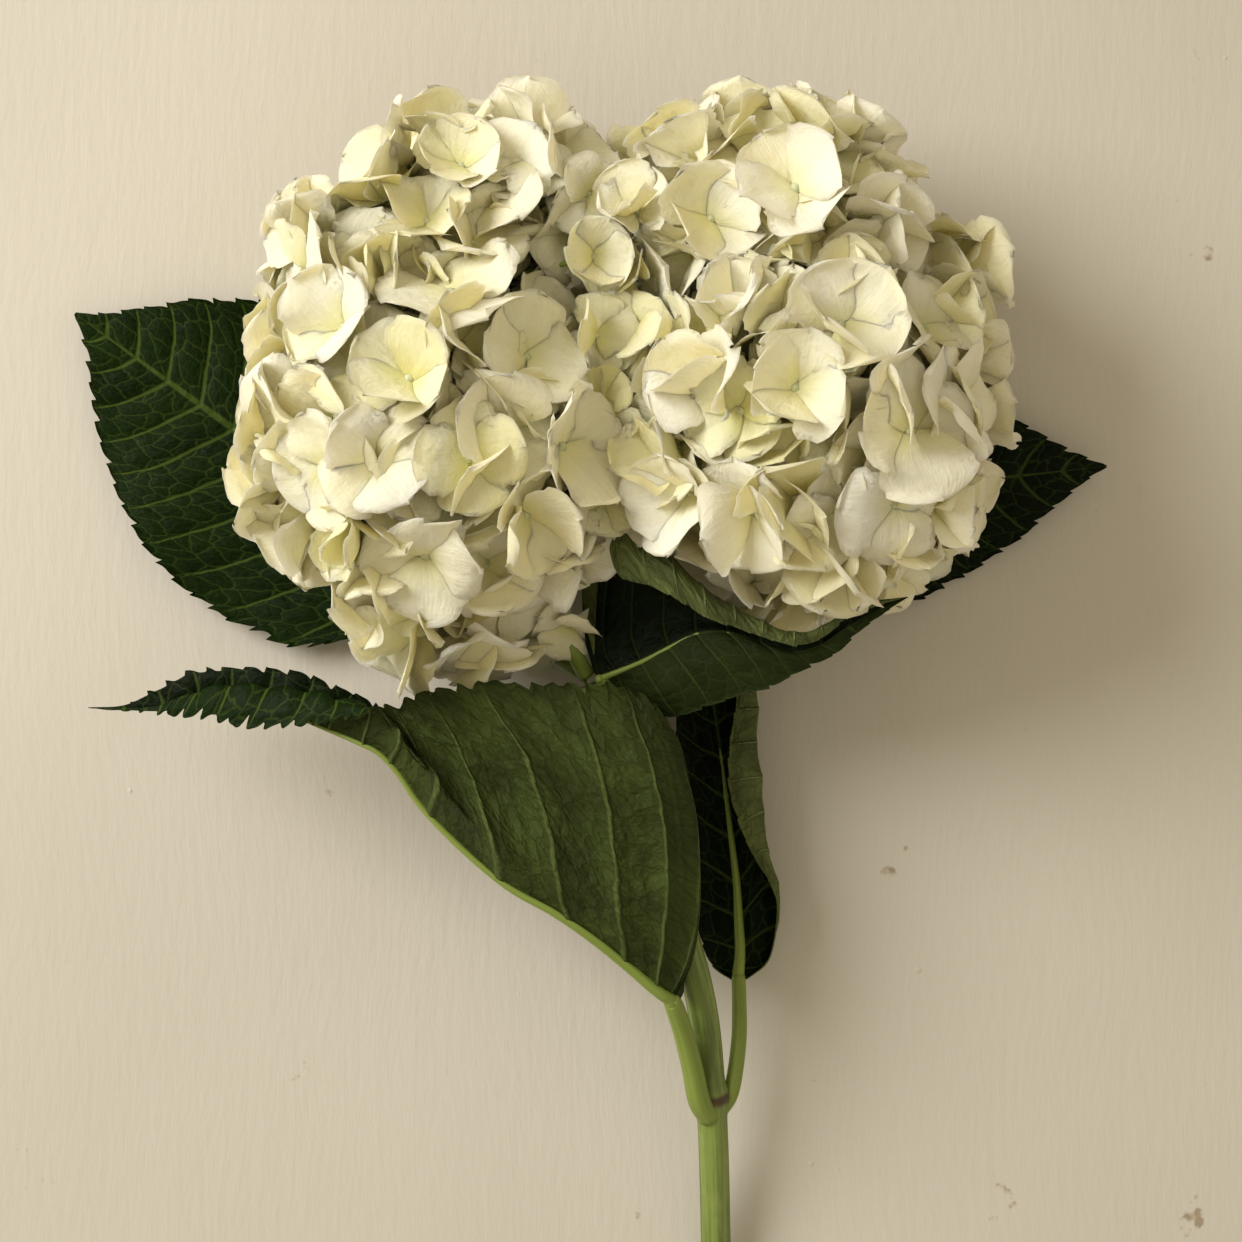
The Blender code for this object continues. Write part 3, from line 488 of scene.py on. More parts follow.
def stem_material():
    """Light green ribbed stem with darker streaks, and a purple-brown ring at the joint."""
    s = Shader("stem_green")
    around, along, _ = s.split(s.uv("Stem"))
    streak = s.noise(s.stretch((around, 14.0), (along, 5.0)), 1.0, 5.0, 0.6)
    patch = s.noise(s.stretch((around, 2.0), (along, 9.0)), 2.0, 3.0)
    colour = s.mix(s.ramp(streak, 0.35, 0.65), (0.10, 0.14, 0.022), (0.22, 0.29, 0.06))
    colour = s.mix(s.ramp(patch, 0.55, 0.75, 0.0, 0.5), colour, (0.30, 0.36, 0.10))
    ring = s.ramp(s.size(s.minus(along, STEM_NODES[0] + 0.001)), 0.012, 0.003)
    ring = s.times(ring, s.ramp(patch, 0.3, 0.6, 0.3, 1.0))
    s.set("Base Color", s.mix(ring, colour, (0.055, 0.028, 0.010)))
    s.set("Roughness", 0.42)
    s.bump(streak, 0.5, 0.0005)
    return s.material


def stalk_material():
    """Smooth light green stalks with fine streaks along them."""
    s = Shader("flower_stalk_green")
    around, along, _ = s.split(s.uv("Stem"))
    streak = s.noise(s.stretch((around, 11.0), (along, 7.0)), 1.0, 3.0)
    s.set("Base Color", s.mix(s.ramp(streak, 0.3, 0.7), (0.17, 0.235, 0.036), (0.235, 0.30, 0.060)))
    s.set("Roughness", 0.42)
    s.set("Specular IOR Level", 0.35)
    return s.material


def bud_material():
    """Pale green buds, finely mottled."""
    s = Shader("bud_green")
    mottle = s.ramp(s.noise(s.object_place(), 900.0), 0.35, 0.65)
    s.set("Base Color", s.mix(mottle, (0.42, 0.46, 0.26), (0.62, 0.64, 0.42)))
    s.set("Roughness", 0.55)
    return s.material


# ---- stem and stalks
def tube(path, radius, stations, sides, cut_normal=None, ribs=0, rib_depth=0.0):
    """(points, faces, uv) of a tube with flat ends. radius is a function of the array t."""
    t = np.linspace(0, 1, stations)
    centre = spline(path, t)
    tangent = unit(spline(path, np.minimum(t + 0.01, 1)) - spline(path, np.maximum(t - 0.01, 0)))
    side = np.array((1, 0, 0.2))
    angle = np.linspace(0, 2 * np.pi, sides, endpoint=False)
    rings = []
    for n in range(stations):
        side = unit(side - tangent[n] * side.dot(tangent[n]))
        up = np.cross(tangent[n], side)
        r = radius(t[n]) * (1 + rib_depth * np.cos(ribs * angle))
        offset = (np.outer(np.cos(angle), side) + np.outer(np.sin(angle), up)) * r[:, None]
        if n == 0 and cut_normal is not None:
            offset -= np.outer(offset @ cut_normal, tangent[n]) / tangent[n].dot(cut_normal)
        rings.append(centre[n] + offset)
    points = np.concatenate(rings + [centre[:1], centre[-1:]])
    faces = grid_faces(stations, sides, closed=True)
    first, last = stations * sides, stations * sides + 1
    for k in range(sides):
        j = (k + 1) % sides
        faces.append((first, j, k))
        faces.append((last, (stations - 1) * sides + k, (stations - 1) * sides + j))
    uv = np.array([(k / sides, v) for v in t for k in range(sides)] + [(0.5, 0), (0.5, 1)])
    return points, faces, uv


def stem_radius(t):
    swell = max(math.exp(-(((t - node) / 0.020) ** 2)) for node in STEM_NODES)
    return STEM_RADIUS + (NODE_RADIUS - STEM_RADIUS) * swell


def add_stem(material):
    """The stem, its cut end slanted."""
    normal = np.array((0, -math.cos(CUT_SLANT), math.sin(CUT_SLANT)))
    points, faces, uv = tube(STEM_PATH, stem_radius, 200, 40, normal, ribs=6, rib_depth=0.035)
    visible_piece("main_stem", points, faces, {"Stem": uv}, [material])


def ray_paths(path, ray_tips):
    """The paths of the rays that fork from a flower stalk, each bowed a little upwards."""
    rays = []
    for n, tip in enumerate(ray_tips[1:]):
        start = spline(path, RAY_FORKS[n % len(RAY_FORKS)])[0]
        bow = (start + np.array(tip)) / 2 + np.array((0, 0, 3))
        rays.append([tuple(start), tuple(bow), tip])
    return rays


def add_flower_stalk(node, path, ray_tips, material):
    """One head's stalk and its rays."""
    parts, faces, uvs = [], [], []
    count = 0
    for n, run in enumerate([path] + ray_paths(path, ray_tips)):
        wide = STALK_RADIUS if n == 0 else RAY_RADIUS
        points, run_faces, uv = tube(run, lambda t: wide * (1 - 0.3 * t), 40, 14, ribs=5, rib_depth=0.05)
        parts.append(points)
        uvs.append(uv)
        faces += [tuple(i + count for i in face) for face in run_faces]
        count += len(points)
    visible_piece(node, np.concatenate(parts), faces, {"Stem": np.concatenate(uvs)}, [material])


# ---- leaves
def blade_width(v, fullness):
    """A flat leaf's width, 1 at its widest, at the share v of the way to its tip."""
    drawn_out = 1 - 0.25 * np.clip((v - 0.8) / 0.2, 0, None)
    return np.maximum(np.sin(np.pi * v**fullness), 0) ** 0.95 * drawn_out


def flat_net(leaf, rows=17, columns=6):
    """A flat leaf's net: its side veins sweep towards the tip, most of all near the base."""
    net = np.zeros((rows, 2 * columns + 1, 3))
    for r in range(rows):
        a = r / (rows - 1)
        for c in range(-columns, columns + 1):
            share = abs(c) / columns
            v = a ** (1 - 0.42 * share)
            centre = spline(leaf["spine"], v)[0]
            tangent = unit(spline(leaf["spine"], min(v + 0.02, 1)) - spline(leaf["spine"], max(v - 0.02, 0)))[0]
            level = unit(np.cross(tangent, (0, 0, 1.0)))
            half = 0 if c < 0 else 1
            full = float(blade_width(np.array(v), leaf["fullness"]))
            width = leaf["half_widths"][half] * max(full, 0.012) * share
            rise = math.radians(spline(leaf["curl"], v)[0][half])
            wave = 1.8 * share**2 * full * math.sin(17 * v + 2.0 * half + leaf["veins"])
            sign = -1 if c < 0 else 1
            up = np.array((0, 0, width * math.sin(rise) + wave))
            net[r, c + columns] = centre + level * sign * width * math.cos(rise) + up
    return net, columns


def weave(net, a):
    """The net's rows at every value of the array a, from 0 to 1: (len(a), columns, 3)."""
    rows, columns, _ = net.shape
    return spline(net.reshape(rows, -1), a).reshape(-1, columns, 3)


def along_row(row_points, b):
    """Points at the share b (stations, n) of each station's row of points (stations, columns, 3)."""
    before = 2 * row_points[:, :1] - row_points[:, 1:2]
    after = 2 * row_points[:, -1:] - row_points[:, -2:-1]
    p = np.concatenate([before, row_points, after], axis=1)
    place = np.clip(b, 0, 1) * (p.shape[1] - 3)
    i = np.minimum(place.astype(int), p.shape[1] - 4)
    f = (place - i)[..., None]
    q, c, d, e = (np.take_along_axis(p, (i + k)[..., None], axis=1) for k in range(4))
    return 0.5 * (2 * c + (d - q) * f + (2 * q - 5 * c + 4 * d - e) * f**2 + (3 * c - q - 3 * d + e) * f**3)


def notches(margin, depth, scalloped):
    """How far a margin is cut back at each of its points: long-backed teeth that point to the tip, or scallops."""
    run = np.concatenate([[0], np.cumsum(np.linalg.norm(np.diff(margin, axis=0), axis=1))])
    count = max(round(run[-1] / (SCALLOP_PITCH if scalloped else TOOTH_PITCH)), 1)
    phase = (run / run[-1] * count + 0.15 * np.sin(run * 0.9)) % 1
    size = 0.8 + 0.35 * np.sin(run * 0.37 + 1.0)
    if scalloped:
        return depth * size * (1 - np.sin(np.pi * phase**1.2) ** 0.75)
    return depth * size * (1 - phase**0.8)


def toothed_half(row_points, depth, scalloped):
    """(points, width) of a half blade, from its midrib to its margin, which the teeth cut back."""
    cut = notches(row_points[:, -1], depth, scalloped)
    width = np.linalg.norm(np.diff(row_points, axis=1), axis=2).sum(axis=1)
    share = np.minimum(cut / np.maximum(width, 0.5), 0.3)
    b = np.linspace(0, 1, LEAF_COLUMNS + 1)
    outer = np.clip((b - (1 - TEETH_SHARE)) / TEETH_SHARE, 0, 1) ** 1.3
    return along_row(row_points, b[None, :] - share[:, None] * outer[None, :]), width


def blade_relief(row, s, width, relief):
    """How far the upper and the lower face lie from the blade's middle: puffed up between its veins.

    row counts side veins along the leaf, s runs from -1 to 1 across it, and width is the half blade's there.
    """
    from_vein = np.abs((row + 0.5) % 1 - 0.5)
    broad = np.clip(width / 14, 0, 1)
    edge = np.clip((1 - np.abs(s)) * 4, 0, 1)[None, :]
    vein = np.exp(-((from_vein / 0.055) ** 2)) * edge * broad
    dome = np.sin(np.pi * np.clip(np.abs(s), 0, 1) ** 0.7)[None, :]
    puff = (1 - np.exp(-((from_vein / 0.22) ** 2))) * dome * broad
    rung_gap = 4.2 + 0.5 * np.sin(3.0 * row + 1.0)
    rung = (np.abs(s[None, :]) * width / rung_gap + 0.35 * np.sin(9.1 * np.floor(row))) % 1
    rung = np.exp(-(((rung - 0.5) / 0.16) ** 2)) * (1 - vein) * broad * edge
    lift = relief * (0.85 * puff - 0.10 * rung)
    raised_vein = 0.55 * vein * (1 - 0.5 * np.abs(s))[None, :]
    return lift - 0.15 * vein + LEAF_THICKNESS / 2, lift - relief * (raised_vein + 0.10 * rung) - LEAF_THICKNESS / 2


def blade_faces(rows, columns):
    """Faces of the upper sheet, of the lower one and its rim, and the upper ones' material numbers."""
    half = rows * columns
    upper = grid_faces(rows, columns)
    rim = []
    for r in range(rows - 1):
        p, q = r * columns, (r + 1) * columns
        rim.append((q, p, p + half, q + half))
        p, q = p + columns - 1, q + columns - 1
        rim.append((p, q, q + half, p + half))
    last = half - columns
    for c in range(columns - 1):
        rim.append((c, c + 1, c + 1 + half, c + half))
        rim.append((last + c + 1, last + c, last + c + half, last + c + 1 + half))
    sides = [0 if i % (columns - 1) < LEAF_COLUMNS else 3 for i in range(len(upper))]
    return upper, [f[::-1] for f in grid_faces(rows, columns, start=half)] + rim, sides


def add_leaf(name, net, left_columns, veins, materials, seed):
    """A leaf from its net. Its stalk runs on as the midrib. Returns a coarse grid of the blade's points."""
    leaf = LEAVES[name]
    a = np.linspace(0, 1, LEAF_STATIONS)
    woven = weave(net, a)
    left, left_width = toothed_half(woven[:, left_columns::-1], leaf["teeth"][0], leaf.get("scalloped", False))
    right, right_width = toothed_half(woven[:, left_columns:], leaf["teeth"][1], False)
    middle = np.concatenate([left[:, :0:-1], right], axis=1)
    s = np.linspace(-1, 1, 2 * LEAF_COLUMNS + 1)
    width = np.where(s[None, :] < 0, left_width[:, None], right_width[:, None])
    normal = unit(np.cross(np.gradient(middle, axis=1), np.gradient(middle, axis=0)))
    row = a[:, None] * veins + 0 * s[None, :]
    high, deep = blade_relief(row, s, width, leaf["relief"])
    top = middle + normal * high[..., None]
    bottom = middle + normal * deep[..., None]
    upper_faces, lower_faces, sides = blade_faces(*row.shape)
    midrib = middle[:, LEAF_COLUMNS]
    run = np.concatenate([[0], np.cumsum(np.linalg.norm(np.diff(midrib, axis=0), axis=1))])
    leaf_uv = np.stack([np.broadcast_to(s * 0.5 + 0.5, row.shape), row / VEIN_UNIT], axis=-1).reshape(-1, 2)
    flat_uv = np.stack([s[None, :] * width, np.broadcast_to(run[:, None], row.shape)], axis=-1).reshape(-1, 2)
    flat_uv = flat_uv / 100 + 0.5 + seed * 1.7
    picked = range(2, LEAF_STATIONS - 8, 12)
    line = leaf["stalk"] + [tuple(midrib[i] - normal[i, LEAF_COLUMNS] * 0.3) for i in picked]
    base = len(leaf["stalk"]) / (len(line) - 1)
    first, last = leaf["radii"]

    def radius(t):
        if t < base:
            return first + (last - first) * (t / base) ** 0.7
        return max(last * (1 - 1.05 * ((t - base) / (1 - base)) ** leaf["rib_taper"]), THINNEST_RIB)

    rib_points, rib_faces, rib_uv = tube(line, radius, 150, 14)
    both = 2 * row.size
    pad = np.zeros((len(rib_points), 2))
    visible_piece(
        name, np.concatenate([top.reshape(-1, 3), bottom.reshape(-1, 3), rib_points]),
        upper_faces + lower_faces + [tuple(i + both for i in f) for f in rib_faces],
        {
            "Leaf": np.concatenate([leaf_uv, leaf_uv, pad]),
            "Flat": np.concatenate([flat_uv, flat_uv, pad]),
            "Stem": np.concatenate([np.zeros((both, 2)), rib_uv]),
        },
        materials, sides + [1] * len(lower_faces) + [2] * len(rib_faces),
    )
    return middle[::6, ::4]


def add_leaves(stalk):
    """All five leaves. Returns each blade's coarse grid of points."""
    made = {key: leaf_material(*settings) for key, settings in LEAF_FACES.items()}
    grids = []
    for n, (name, leaf) in enumerate(LEAVES.items()):
        left_upper, lower, right_upper = (made[key] for key in leaf["faces"])
        if "net" in leaf:
            net = np.array(leaf["net"].split(), float).reshape(-1, leaf["points"], 3)
            left_columns, veins = leaf["left_columns"], len(net) - 1
        else:
            (net, left_columns), veins = flat_net(leaf), leaf["veins"]
        grids.append(add_leaf(name, net, left_columns, veins, [left_upper, lower, stalk, right_upper], n + 1))
    return grids


# ---- florets
def onto_head(point, lobes):
    """(point, outward normal) where the head's surface is nearest to the point."""
    found = np.array(point, float)
    normal = np.array((0, 0, 1.0))
    for _ in range(4):
        ball = max(lobes, key=lambda b: b[3] - np.linalg.norm(found - np.array(b[:3])))
        normal = unit(found - np.array(ball[:3]))
        found = np.array(ball[:3]) + normal * ball[3]
    if found[2] < BOARD_CLEARANCE:
        found[2] = BOARD_CLEARANCE
        normal = unit(np.array((normal[0] * 0.3, normal[1] * 0.3, -1)))
    return found, normal


def spread(points, spacing, lobes, fixed=(), steps=60):
    """Points that are closer than the spacing push each other along the head's surface. fixed ones stay."""
    placed = np.array([onto_head(p, lobes)[0] for p in points])
    held = np.array(fixed, float).reshape(-1, 3)
    for _ in range(steps):
        everything = np.vstack([placed, held])
        gap_vector = placed[:, None, :] - everything[None, :, :]
        gap = np.linalg.norm(gap_vector, axis=-1)
        close = (gap < spacing) & (gap > 1e-6)
        push = (gap_vector / np.maximum(gap, 0.1)[..., None]
                * ((spacing - gap) * close * 0.25)[..., None]).sum(axis=1)
        placed = np.array([onto_head(p, lobes)[0] for p in placed + push])
    return placed


def sepal_grid(shape, rows, columns):
    """Points (rows, columns, 3) of one sepal, and how far out and across each is.

    x runs across, y outwards from the bud and z the way the floret faces.
    """
    i = np.linspace(0, 1, rows)
    u = 1 - (1 - i) ** 1.5
    v = np.linspace(-1, 1, columns)
    wide = shape["widest"]
    rising = 0.24 + 0.76 * np.sin(np.pi / 2 * np.clip(u / wide, 0, 1) ** 0.85)
    falling = np.sqrt(np.clip(1 - (np.clip(u - wide, 0, None) / (1 - wide)) ** 2.2, 0, None))
    outline = rising * falling
    ragged = 1 + 0.045 * np.sin(u * 13 + shape["phase"]) + 0.035 * np.sin(u * 29 + 2 * shape["phase"])
    half = shape["width"] / 2 * outline * ragged
    angle = shape["tilt"] + shape["bend"] * u**1.2
    step = np.diff(u, prepend=0) * shape["length"]
    y = np.cumsum(np.cos(angle) * step) + shape["start"]
    z = np.cumsum(np.sin(angle) * step)
    across = v[None, :] * half[:, None]
    turn = shape["cup"] * v[None, :] * np.clip(u * 2.2, 0, 1)[:, None]
    x = across * np.cos(turn / 2)
    lift = np.abs(across) * np.sin(np.abs(turn) / 2) * np.sign(shape["cup"])
    edge = np.abs(v[None, :]) ** 2 * outline[:, None]
    tip = np.clip((u - 0.55) / 0.45, 0, 1)[:, None] ** 2
    ruffle = np.sin(u[:, None] * shape["waves"] + shape["phase"] + 1.9 * v[None, :])
    lift = lift + shape["ruffle"] * shape["length"] * (edge + 0.7 * tip) * ruffle
    crease = shape["length"] * 0.035 * np.exp(-((v[None, :] / 0.12) ** 2)) * np.sin(np.pi * u)[:, None]
    lift = lift - crease
    notch = shape["length"] * 0.08 * tip * (np.cos(v[None, :] * np.pi * shape["lobing"] + shape["phase"]) * 0.5)
    lean_y, lean_z = -np.sin(angle)[:, None], np.cos(angle)[:, None]
    along_y, along_z = np.cos(angle)[:, None], np.sin(angle)[:, None]
    # twist about the sepal's own midline
    twist = (shape["twist"] * u)[:, None]
    x, lift = x * np.cos(twist) - lift * np.sin(twist), x * np.sin(twist) + lift * np.cos(twist)
    y = y[:, None] + lean_y * lift + along_y * notch
    z = z[:, None] + lean_z * lift + along_z * notch
    grid = np.stack([x, y, z], axis=-1)
    return grid, np.broadcast_to(u[:, None], x.shape), np.broadcast_to(v[None, :], x.shape)


class Head:
    """Places florets one after another. A sepal that would cut through an earlier one is raised clear of it."""

    def __init__(self):
        self.trees = []
        self.middles = []
        self.reaches = []

    def hits(self, tree, middle, reach):
        if not self.trees:
            return 0
        near = np.linalg.norm(np.array(self.middles) - middle, axis=1) < np.array(self.reaches) + reach
        return sum(len(self.trees[i].overlap(tree)) for i in np.nonzero(near)[0])

    def keep_clear_of(self, grid):
        """Florets keep clear of a leaf blade, given as a coarse grid of points."""
        for start in range(0, len(grid) - 1, BLADE_TILE):
            tile = grid[start : start + BLADE_TILE + 1]
            points = tile.reshape(-1, 3)
            tree = BVHTree.FromPolygons(points.tolist(), grid_faces(tile.shape[0], tile.shape[1]))
            middle = points.mean(axis=0)
            self.keep(tree, middle, np.linalg.norm(points - middle, axis=1).max())

    def keep(self, tree, middle, reach):
        self.trees.append(tree)
        self.middles.append(middle)
        self.reaches.append(reach)


def frame_axes(normal, roll):
    """Side, other and normal as rows."""
    helper = np.array((0.3, 1, 0.1))
    side = unit(helper - normal * helper.dot(normal))
    other = np.cross(normal, side)
    c, s = math.cos(roll), math.sin(roll)
    return np.array((side * c + other * s, other * c - side * s, normal))


def random_shape(radius, mood, openness):
    """One sepal's own measures, in millimetres and radians."""
    _, bend, cup = MOODS[mood]
    return dict(
        length=radius * rng.uniform(0.90, 1.08),
        width=radius * rng.uniform(1.16, 1.50),
        widest=rng.uniform(0.50, 0.64),
        tilt=openness + rng.uniform(-0.10, 0.10),
        bend=rng.uniform(*bend),
        cup=rng.uniform(*cup),
        ruffle=rng.uniform(0.035, 0.115),
        waves=rng.uniform(4, 10),
        phase=rng.uniform(0, 6.28),
        lobing=rng.uniform(0.8, 2.4),
        twist=rng.uniform(-0.26, 0.26),
        start=radius * 0.02,
    )


def sepal_world(grid, axes, centre, turn):
    """A sepal's grid turned about the floret's normal and put in its place."""
    c, s = math.cos(turn), math.sin(turn)
    spin = np.array(((c, s, 0), (-s, c, 0), (0, 0, 1)))
    return centre + grid @ spin @ axes


def place_floret(head, centre, normal, radius, roll, mood, green):
    """Chooses each sepal's tilt so that it clears what is there. Returns how much is blocked, its trees and itself.

    Every second sepal lies above the others.
    """
    axes = frame_axes(normal, roll)
    openness = rng.uniform(*MOODS[mood][0])
    sepals = []
    blocked = 0
    trees = []
    for k in range(4):
        turn = k * math.pi / 2 + rng.uniform(-0.15, 0.15)
        raised, opened = (0.8, 0.15) if k % 2 else (0.0, 0.0)
        shape = random_shape(radius, mood, openness + opened)
        best = None
        for extra in TILT_TRIES:
            trial = dict(shape, tilt=shape["tilt"] + extra)
            grid = sepal_grid(trial, *PROXY_SIZE)[0]
            points = sepal_world(grid, axes, centre + normal * raised, turn).reshape(-1, 3)
            tree = BVHTree.FromPolygons(points.tolist(), grid_faces(*PROXY_SIZE))
            middle = points.mean(axis=0)
            reach = np.linalg.norm(points - middle, axis=1).max()
            count = head.hits(tree, middle, reach)
            if best is None or count < best[0]:
                best = (count, trial, tree, middle, reach)
            if count <= TOLERATED:
                break
        blocked += best[0]
        sepals.append((best[1], turn, raised))
        trees.append(best[2:])
    floret = dict(centre=centre, normal=normal, axes=axes, radius=radius, sepals=sepals, green=green)
    return blocked, trees, floret


def sepal_solid(points, normals, thickness):
    """A sheet of points (rows, columns, 3) given a thickness that tapers to nothing at its edges."""
    rows, columns, _ = points.shape
    along = 1 - np.linspace(0, 1, rows)[:, None] ** 6
    across = 1 - np.abs(np.linspace(-1, 1, columns))[None, :] ** 6
    offset = normals * (along * across * thickness / 2)[..., None]
    both = np.concatenate([(points + offset).reshape(-1, 3), (points - offset).reshape(-1, 3)])
    return both, grid_faces(rows, columns) + [f[::-1] for f in grid_faces(rows, columns, start=rows * columns)]


def bud_mesh(radius):
    """(points, faces) of the small four-lobed bud in a floret's middle, in its own frame."""
    rings, sides = 6, 12
    points = []
    for r in range(rings):
        polar = math.pi / 2 * r / (rings - 1) * 1.15
        for k in range(sides):
            turn = 2 * math.pi * k / sides
            wide = math.sin(polar) * (1 + 0.14 * math.cos(4 * turn))
            points.append((
                radius * wide * math.cos(turn), radius * wide * math.sin(turn), radius * 0.95 * math.cos(polar)))
    return np.array(points), grid_faces(rings, sides, closed=True)


def floret_mesh(floret, join):
    """(points, faces, kinds, uv, tint) of a floret's sepals, bud and stalk."""
    parts, faces, kinds, uvs, tints = [], [], [], [], []
    count = 0

    def put(points, new_faces, kind, uv, tint):
        nonlocal count
        parts.append(points)
        faces.extend(tuple(i + count for i in f) for f in new_faces)
        kinds.extend([kind] * len(new_faces))
        uvs.append(uv)
        tints.append(tint)
        count += len(points)

    for shape, turn, raised in floret["sepals"]:
        grid, u, v = sepal_grid(shape, SEPAL_ROWS, SEPAL_COLUMNS)
        sheet = sepal_world(grid, floret["axes"], floret["centre"] + floret["normal"] * raised, turn)
        facing = unit(np.cross(np.gradient(sheet, axis=1), np.gradient(sheet, axis=0)))
        points, sepal_faces = sepal_solid(sheet, facing, SEPAL_THICKNESS)
        shade = rng.random()
        n = len(points)
        tint = np.stack([np.full(n, floret["green"]), np.tile(u.ravel(), 2), np.full(n, shade), np.ones(n)], axis=-1)
        put(points, sepal_faces, 0, np.tile(np.stack([v.ravel() * 0.5 + 0.5, u.ravel()], axis=-1), (2, 1)), tint)
    bud, bud_faces = bud_mesh(floret["radius"] * 0.085)
    world = floret["centre"] + bud @ floret["axes"] + floret["normal"] * 0.4
    put(world, bud_faces, 1, np.zeros((len(bud), 2)), np.ones((len(bud), 4)))
    inward = unit(join - floret["centre"])
    reach = min(np.linalg.norm(join - floret["centre"]) - 2, 26.0)
    end = floret["centre"] + inward * reach
    start = floret["centre"] - floret["normal"] * 0.3
    bow = (start + end) / 2 - floret["normal"] * 1.5
    stalk, stalk_faces, _ = tube([tuple(start), tuple(bow), tuple(end)], lambda t: 0.6 + 0.35 * t, 7, 7)
    put(stalk, stalk_faces, 2, np.zeros((len(stalk), 2)), np.ones((len(stalk), 4)))
    return np.concatenate(parts), faces, kinds, np.concatenate(uvs), np.concatenate(tints)


def nearest_on(paths, point):
    """The point of any of the paths that is nearest."""
    places = np.concatenate([spline(p, np.linspace(0, 1, 25)) for p in paths])
    return places[np.argmin(np.linalg.norm(places - point, axis=1))]


def surface_from_above(lobes, x, y):
    """The head's surface above (x, y), or its nearest edge."""
    best = None
    for ball in lobes:
        flat = np.array((x - ball[0], y - ball[1]))
        far = np.linalg.norm(flat)
        if far > ball[3] * 0.98:
            flat *= ball[3] * 0.98 / far
        z = ball[2] + math.sqrt(ball[3] ** 2 - flat @ flat)
        miss = max(far - ball[3] * 0.98, 0)
        if best is None or z - 40 * miss > best[0]:
            best = (z - 40 * miss, (ball[0] + flat[0], ball[1] + flat[1], z))
    return onto_head(best[1], lobes)


def even_points(lobes, count, seed):
    """Roughly even points over the head's surface."""
    points = []
    for n, ball in enumerate(lobes):
        share = int(count * ball[3] ** 2 / sum(b[3] ** 2 for b in lobes))
        for k in range(share):
            z = 1 - 2 * (k + 0.5) / share
            turn = k * 2.399963 + seed + n
            flat = math.sqrt(1 - z * z)
            spot = np.array(ball[:3]) + ball[3] * np.array((flat * math.cos(turn), flat * math.sin(turn), z))
            inside = any(np.linalg.norm(spot - np.array(b[:3])) < b[3] - 4 for m, b in enumerate(lobes) if m != n)
            if not inside:
                points.append(spot)
    return points


def shrunk(lobes, by):
    """The lobes, each with a smaller radius."""
    return [(x, y, z, radius - by) for x, y, z, radius in lobes]


def try_depths(head, point, normal, facing, radius, mood, green, depths):
    """The floret at whichever depth and size is blocked least."""
    best = None
    for drop, size in depths:
        roll = rng.uniform(0, 6.28)
        centre = point - normal * drop
        # a floret set deeper is greener, partly painted shade
        found = place_floret(head, centre, facing, radius * size, roll, mood, green + drop * 0.02)
        if best is None or found[0] < best[0]:
            best = found
        if found[0] <= ENOUGH_ROOM:
            break
    for tree in best[1]:
        head.keep(*tree)
    return best[2]


def leaning(normal, most):
    """The normal, leant by up to most along each axis."""
    return unit(normal + np.array([rng.uniform(-most, most) for _ in range(3)]))


def within(point, lobes, depth):
    """Whether the point is deeper than depth in any of the lobes."""
    return any(np.linalg.norm(point - np.array(b[:3])) < b[3] - depth for b in lobes)


def grow_head(head, lobes, other_lobes, chiefs, valley):
    """All of one head's florets: the chief ones first, then the rest of the surface, then deeper ones."""
    florets = []
    inner = shrunk(lobes, SEPAL_RISE)
    for x, y, radius, lift, lean_x, lean_y, green, mood in chiefs:
        point, normal = surface_from_above(inner, x, y)
        facing = unit(normal + np.array((lean_x, lean_y, 0.25)))
        place = point + normal * lift
        florets.append(try_depths(head, place, normal, facing, radius * CHIEF_SCALE, mood, green, CHIEF_DEPTHS))
    for x, y, z, radius, lean_x, lean_y, green, mood in valley:
        facing = unit(np.array((lean_x, lean_y, 1.0)))
        place = np.array((x, y, z))
        florets.append(try_depths(head, place, facing, facing, radius, mood, green, VALLEY_DEPTHS))
    taken = [f["centre"] for f in florets]
    surface = spread(even_points(inner, SURFACE_POINTS, 0.3), SURFACE_SPACING, inner, taken)
    surface = [p for p in surface if min(np.linalg.norm(p - q) for q in taken) > SURFACE_SPACING * 0.7]
    for spot in sorted(surface, key=lambda p: -p[2]):
        point, normal = onto_head(spot, inner)
        if within(point, other_lobes, 8):
            continue
        facing = leaning(normal, 0.42)
        # florets that face the board get greener: painted shade under the head, on top of their own green
        green = rng.choice(SURFACE_GREENS) + 0.2 * max(0.0, -normal[2])
        mood = rng.choice(SURFACE_MOODS)
        place = point + normal * rng.uniform(-2.0, 3.5)
        radius = rng.uniform(16.0, 20.5)
        florets.append(try_depths(head, place, normal, facing, radius, mood, green, SURFACE_DEPTHS))
    deep = shrunk(lobes, SEPAL_RISE + FILL_DEPTH)
    for spot in spread(even_points(deep, FILL_POINTS, 1.1), FILL_SPACING, deep, (), 30):
        point, normal = onto_head(spot, deep)
        if within(point, other_lobes, 12) or point[2] < BOARD_CLEARANCE + 6:
            continue
        facing = leaning(normal, 0.3)
        # deeper florets are greener: their own green, deepened as painted shade
        green = rng.uniform(0.25, 0.55)
        radius = rng.uniform(12.5, 15.5)
        florets.append(try_depths(head, point, normal, facing, radius, "cupped", green, FILL_DEPTHS))
    return florets


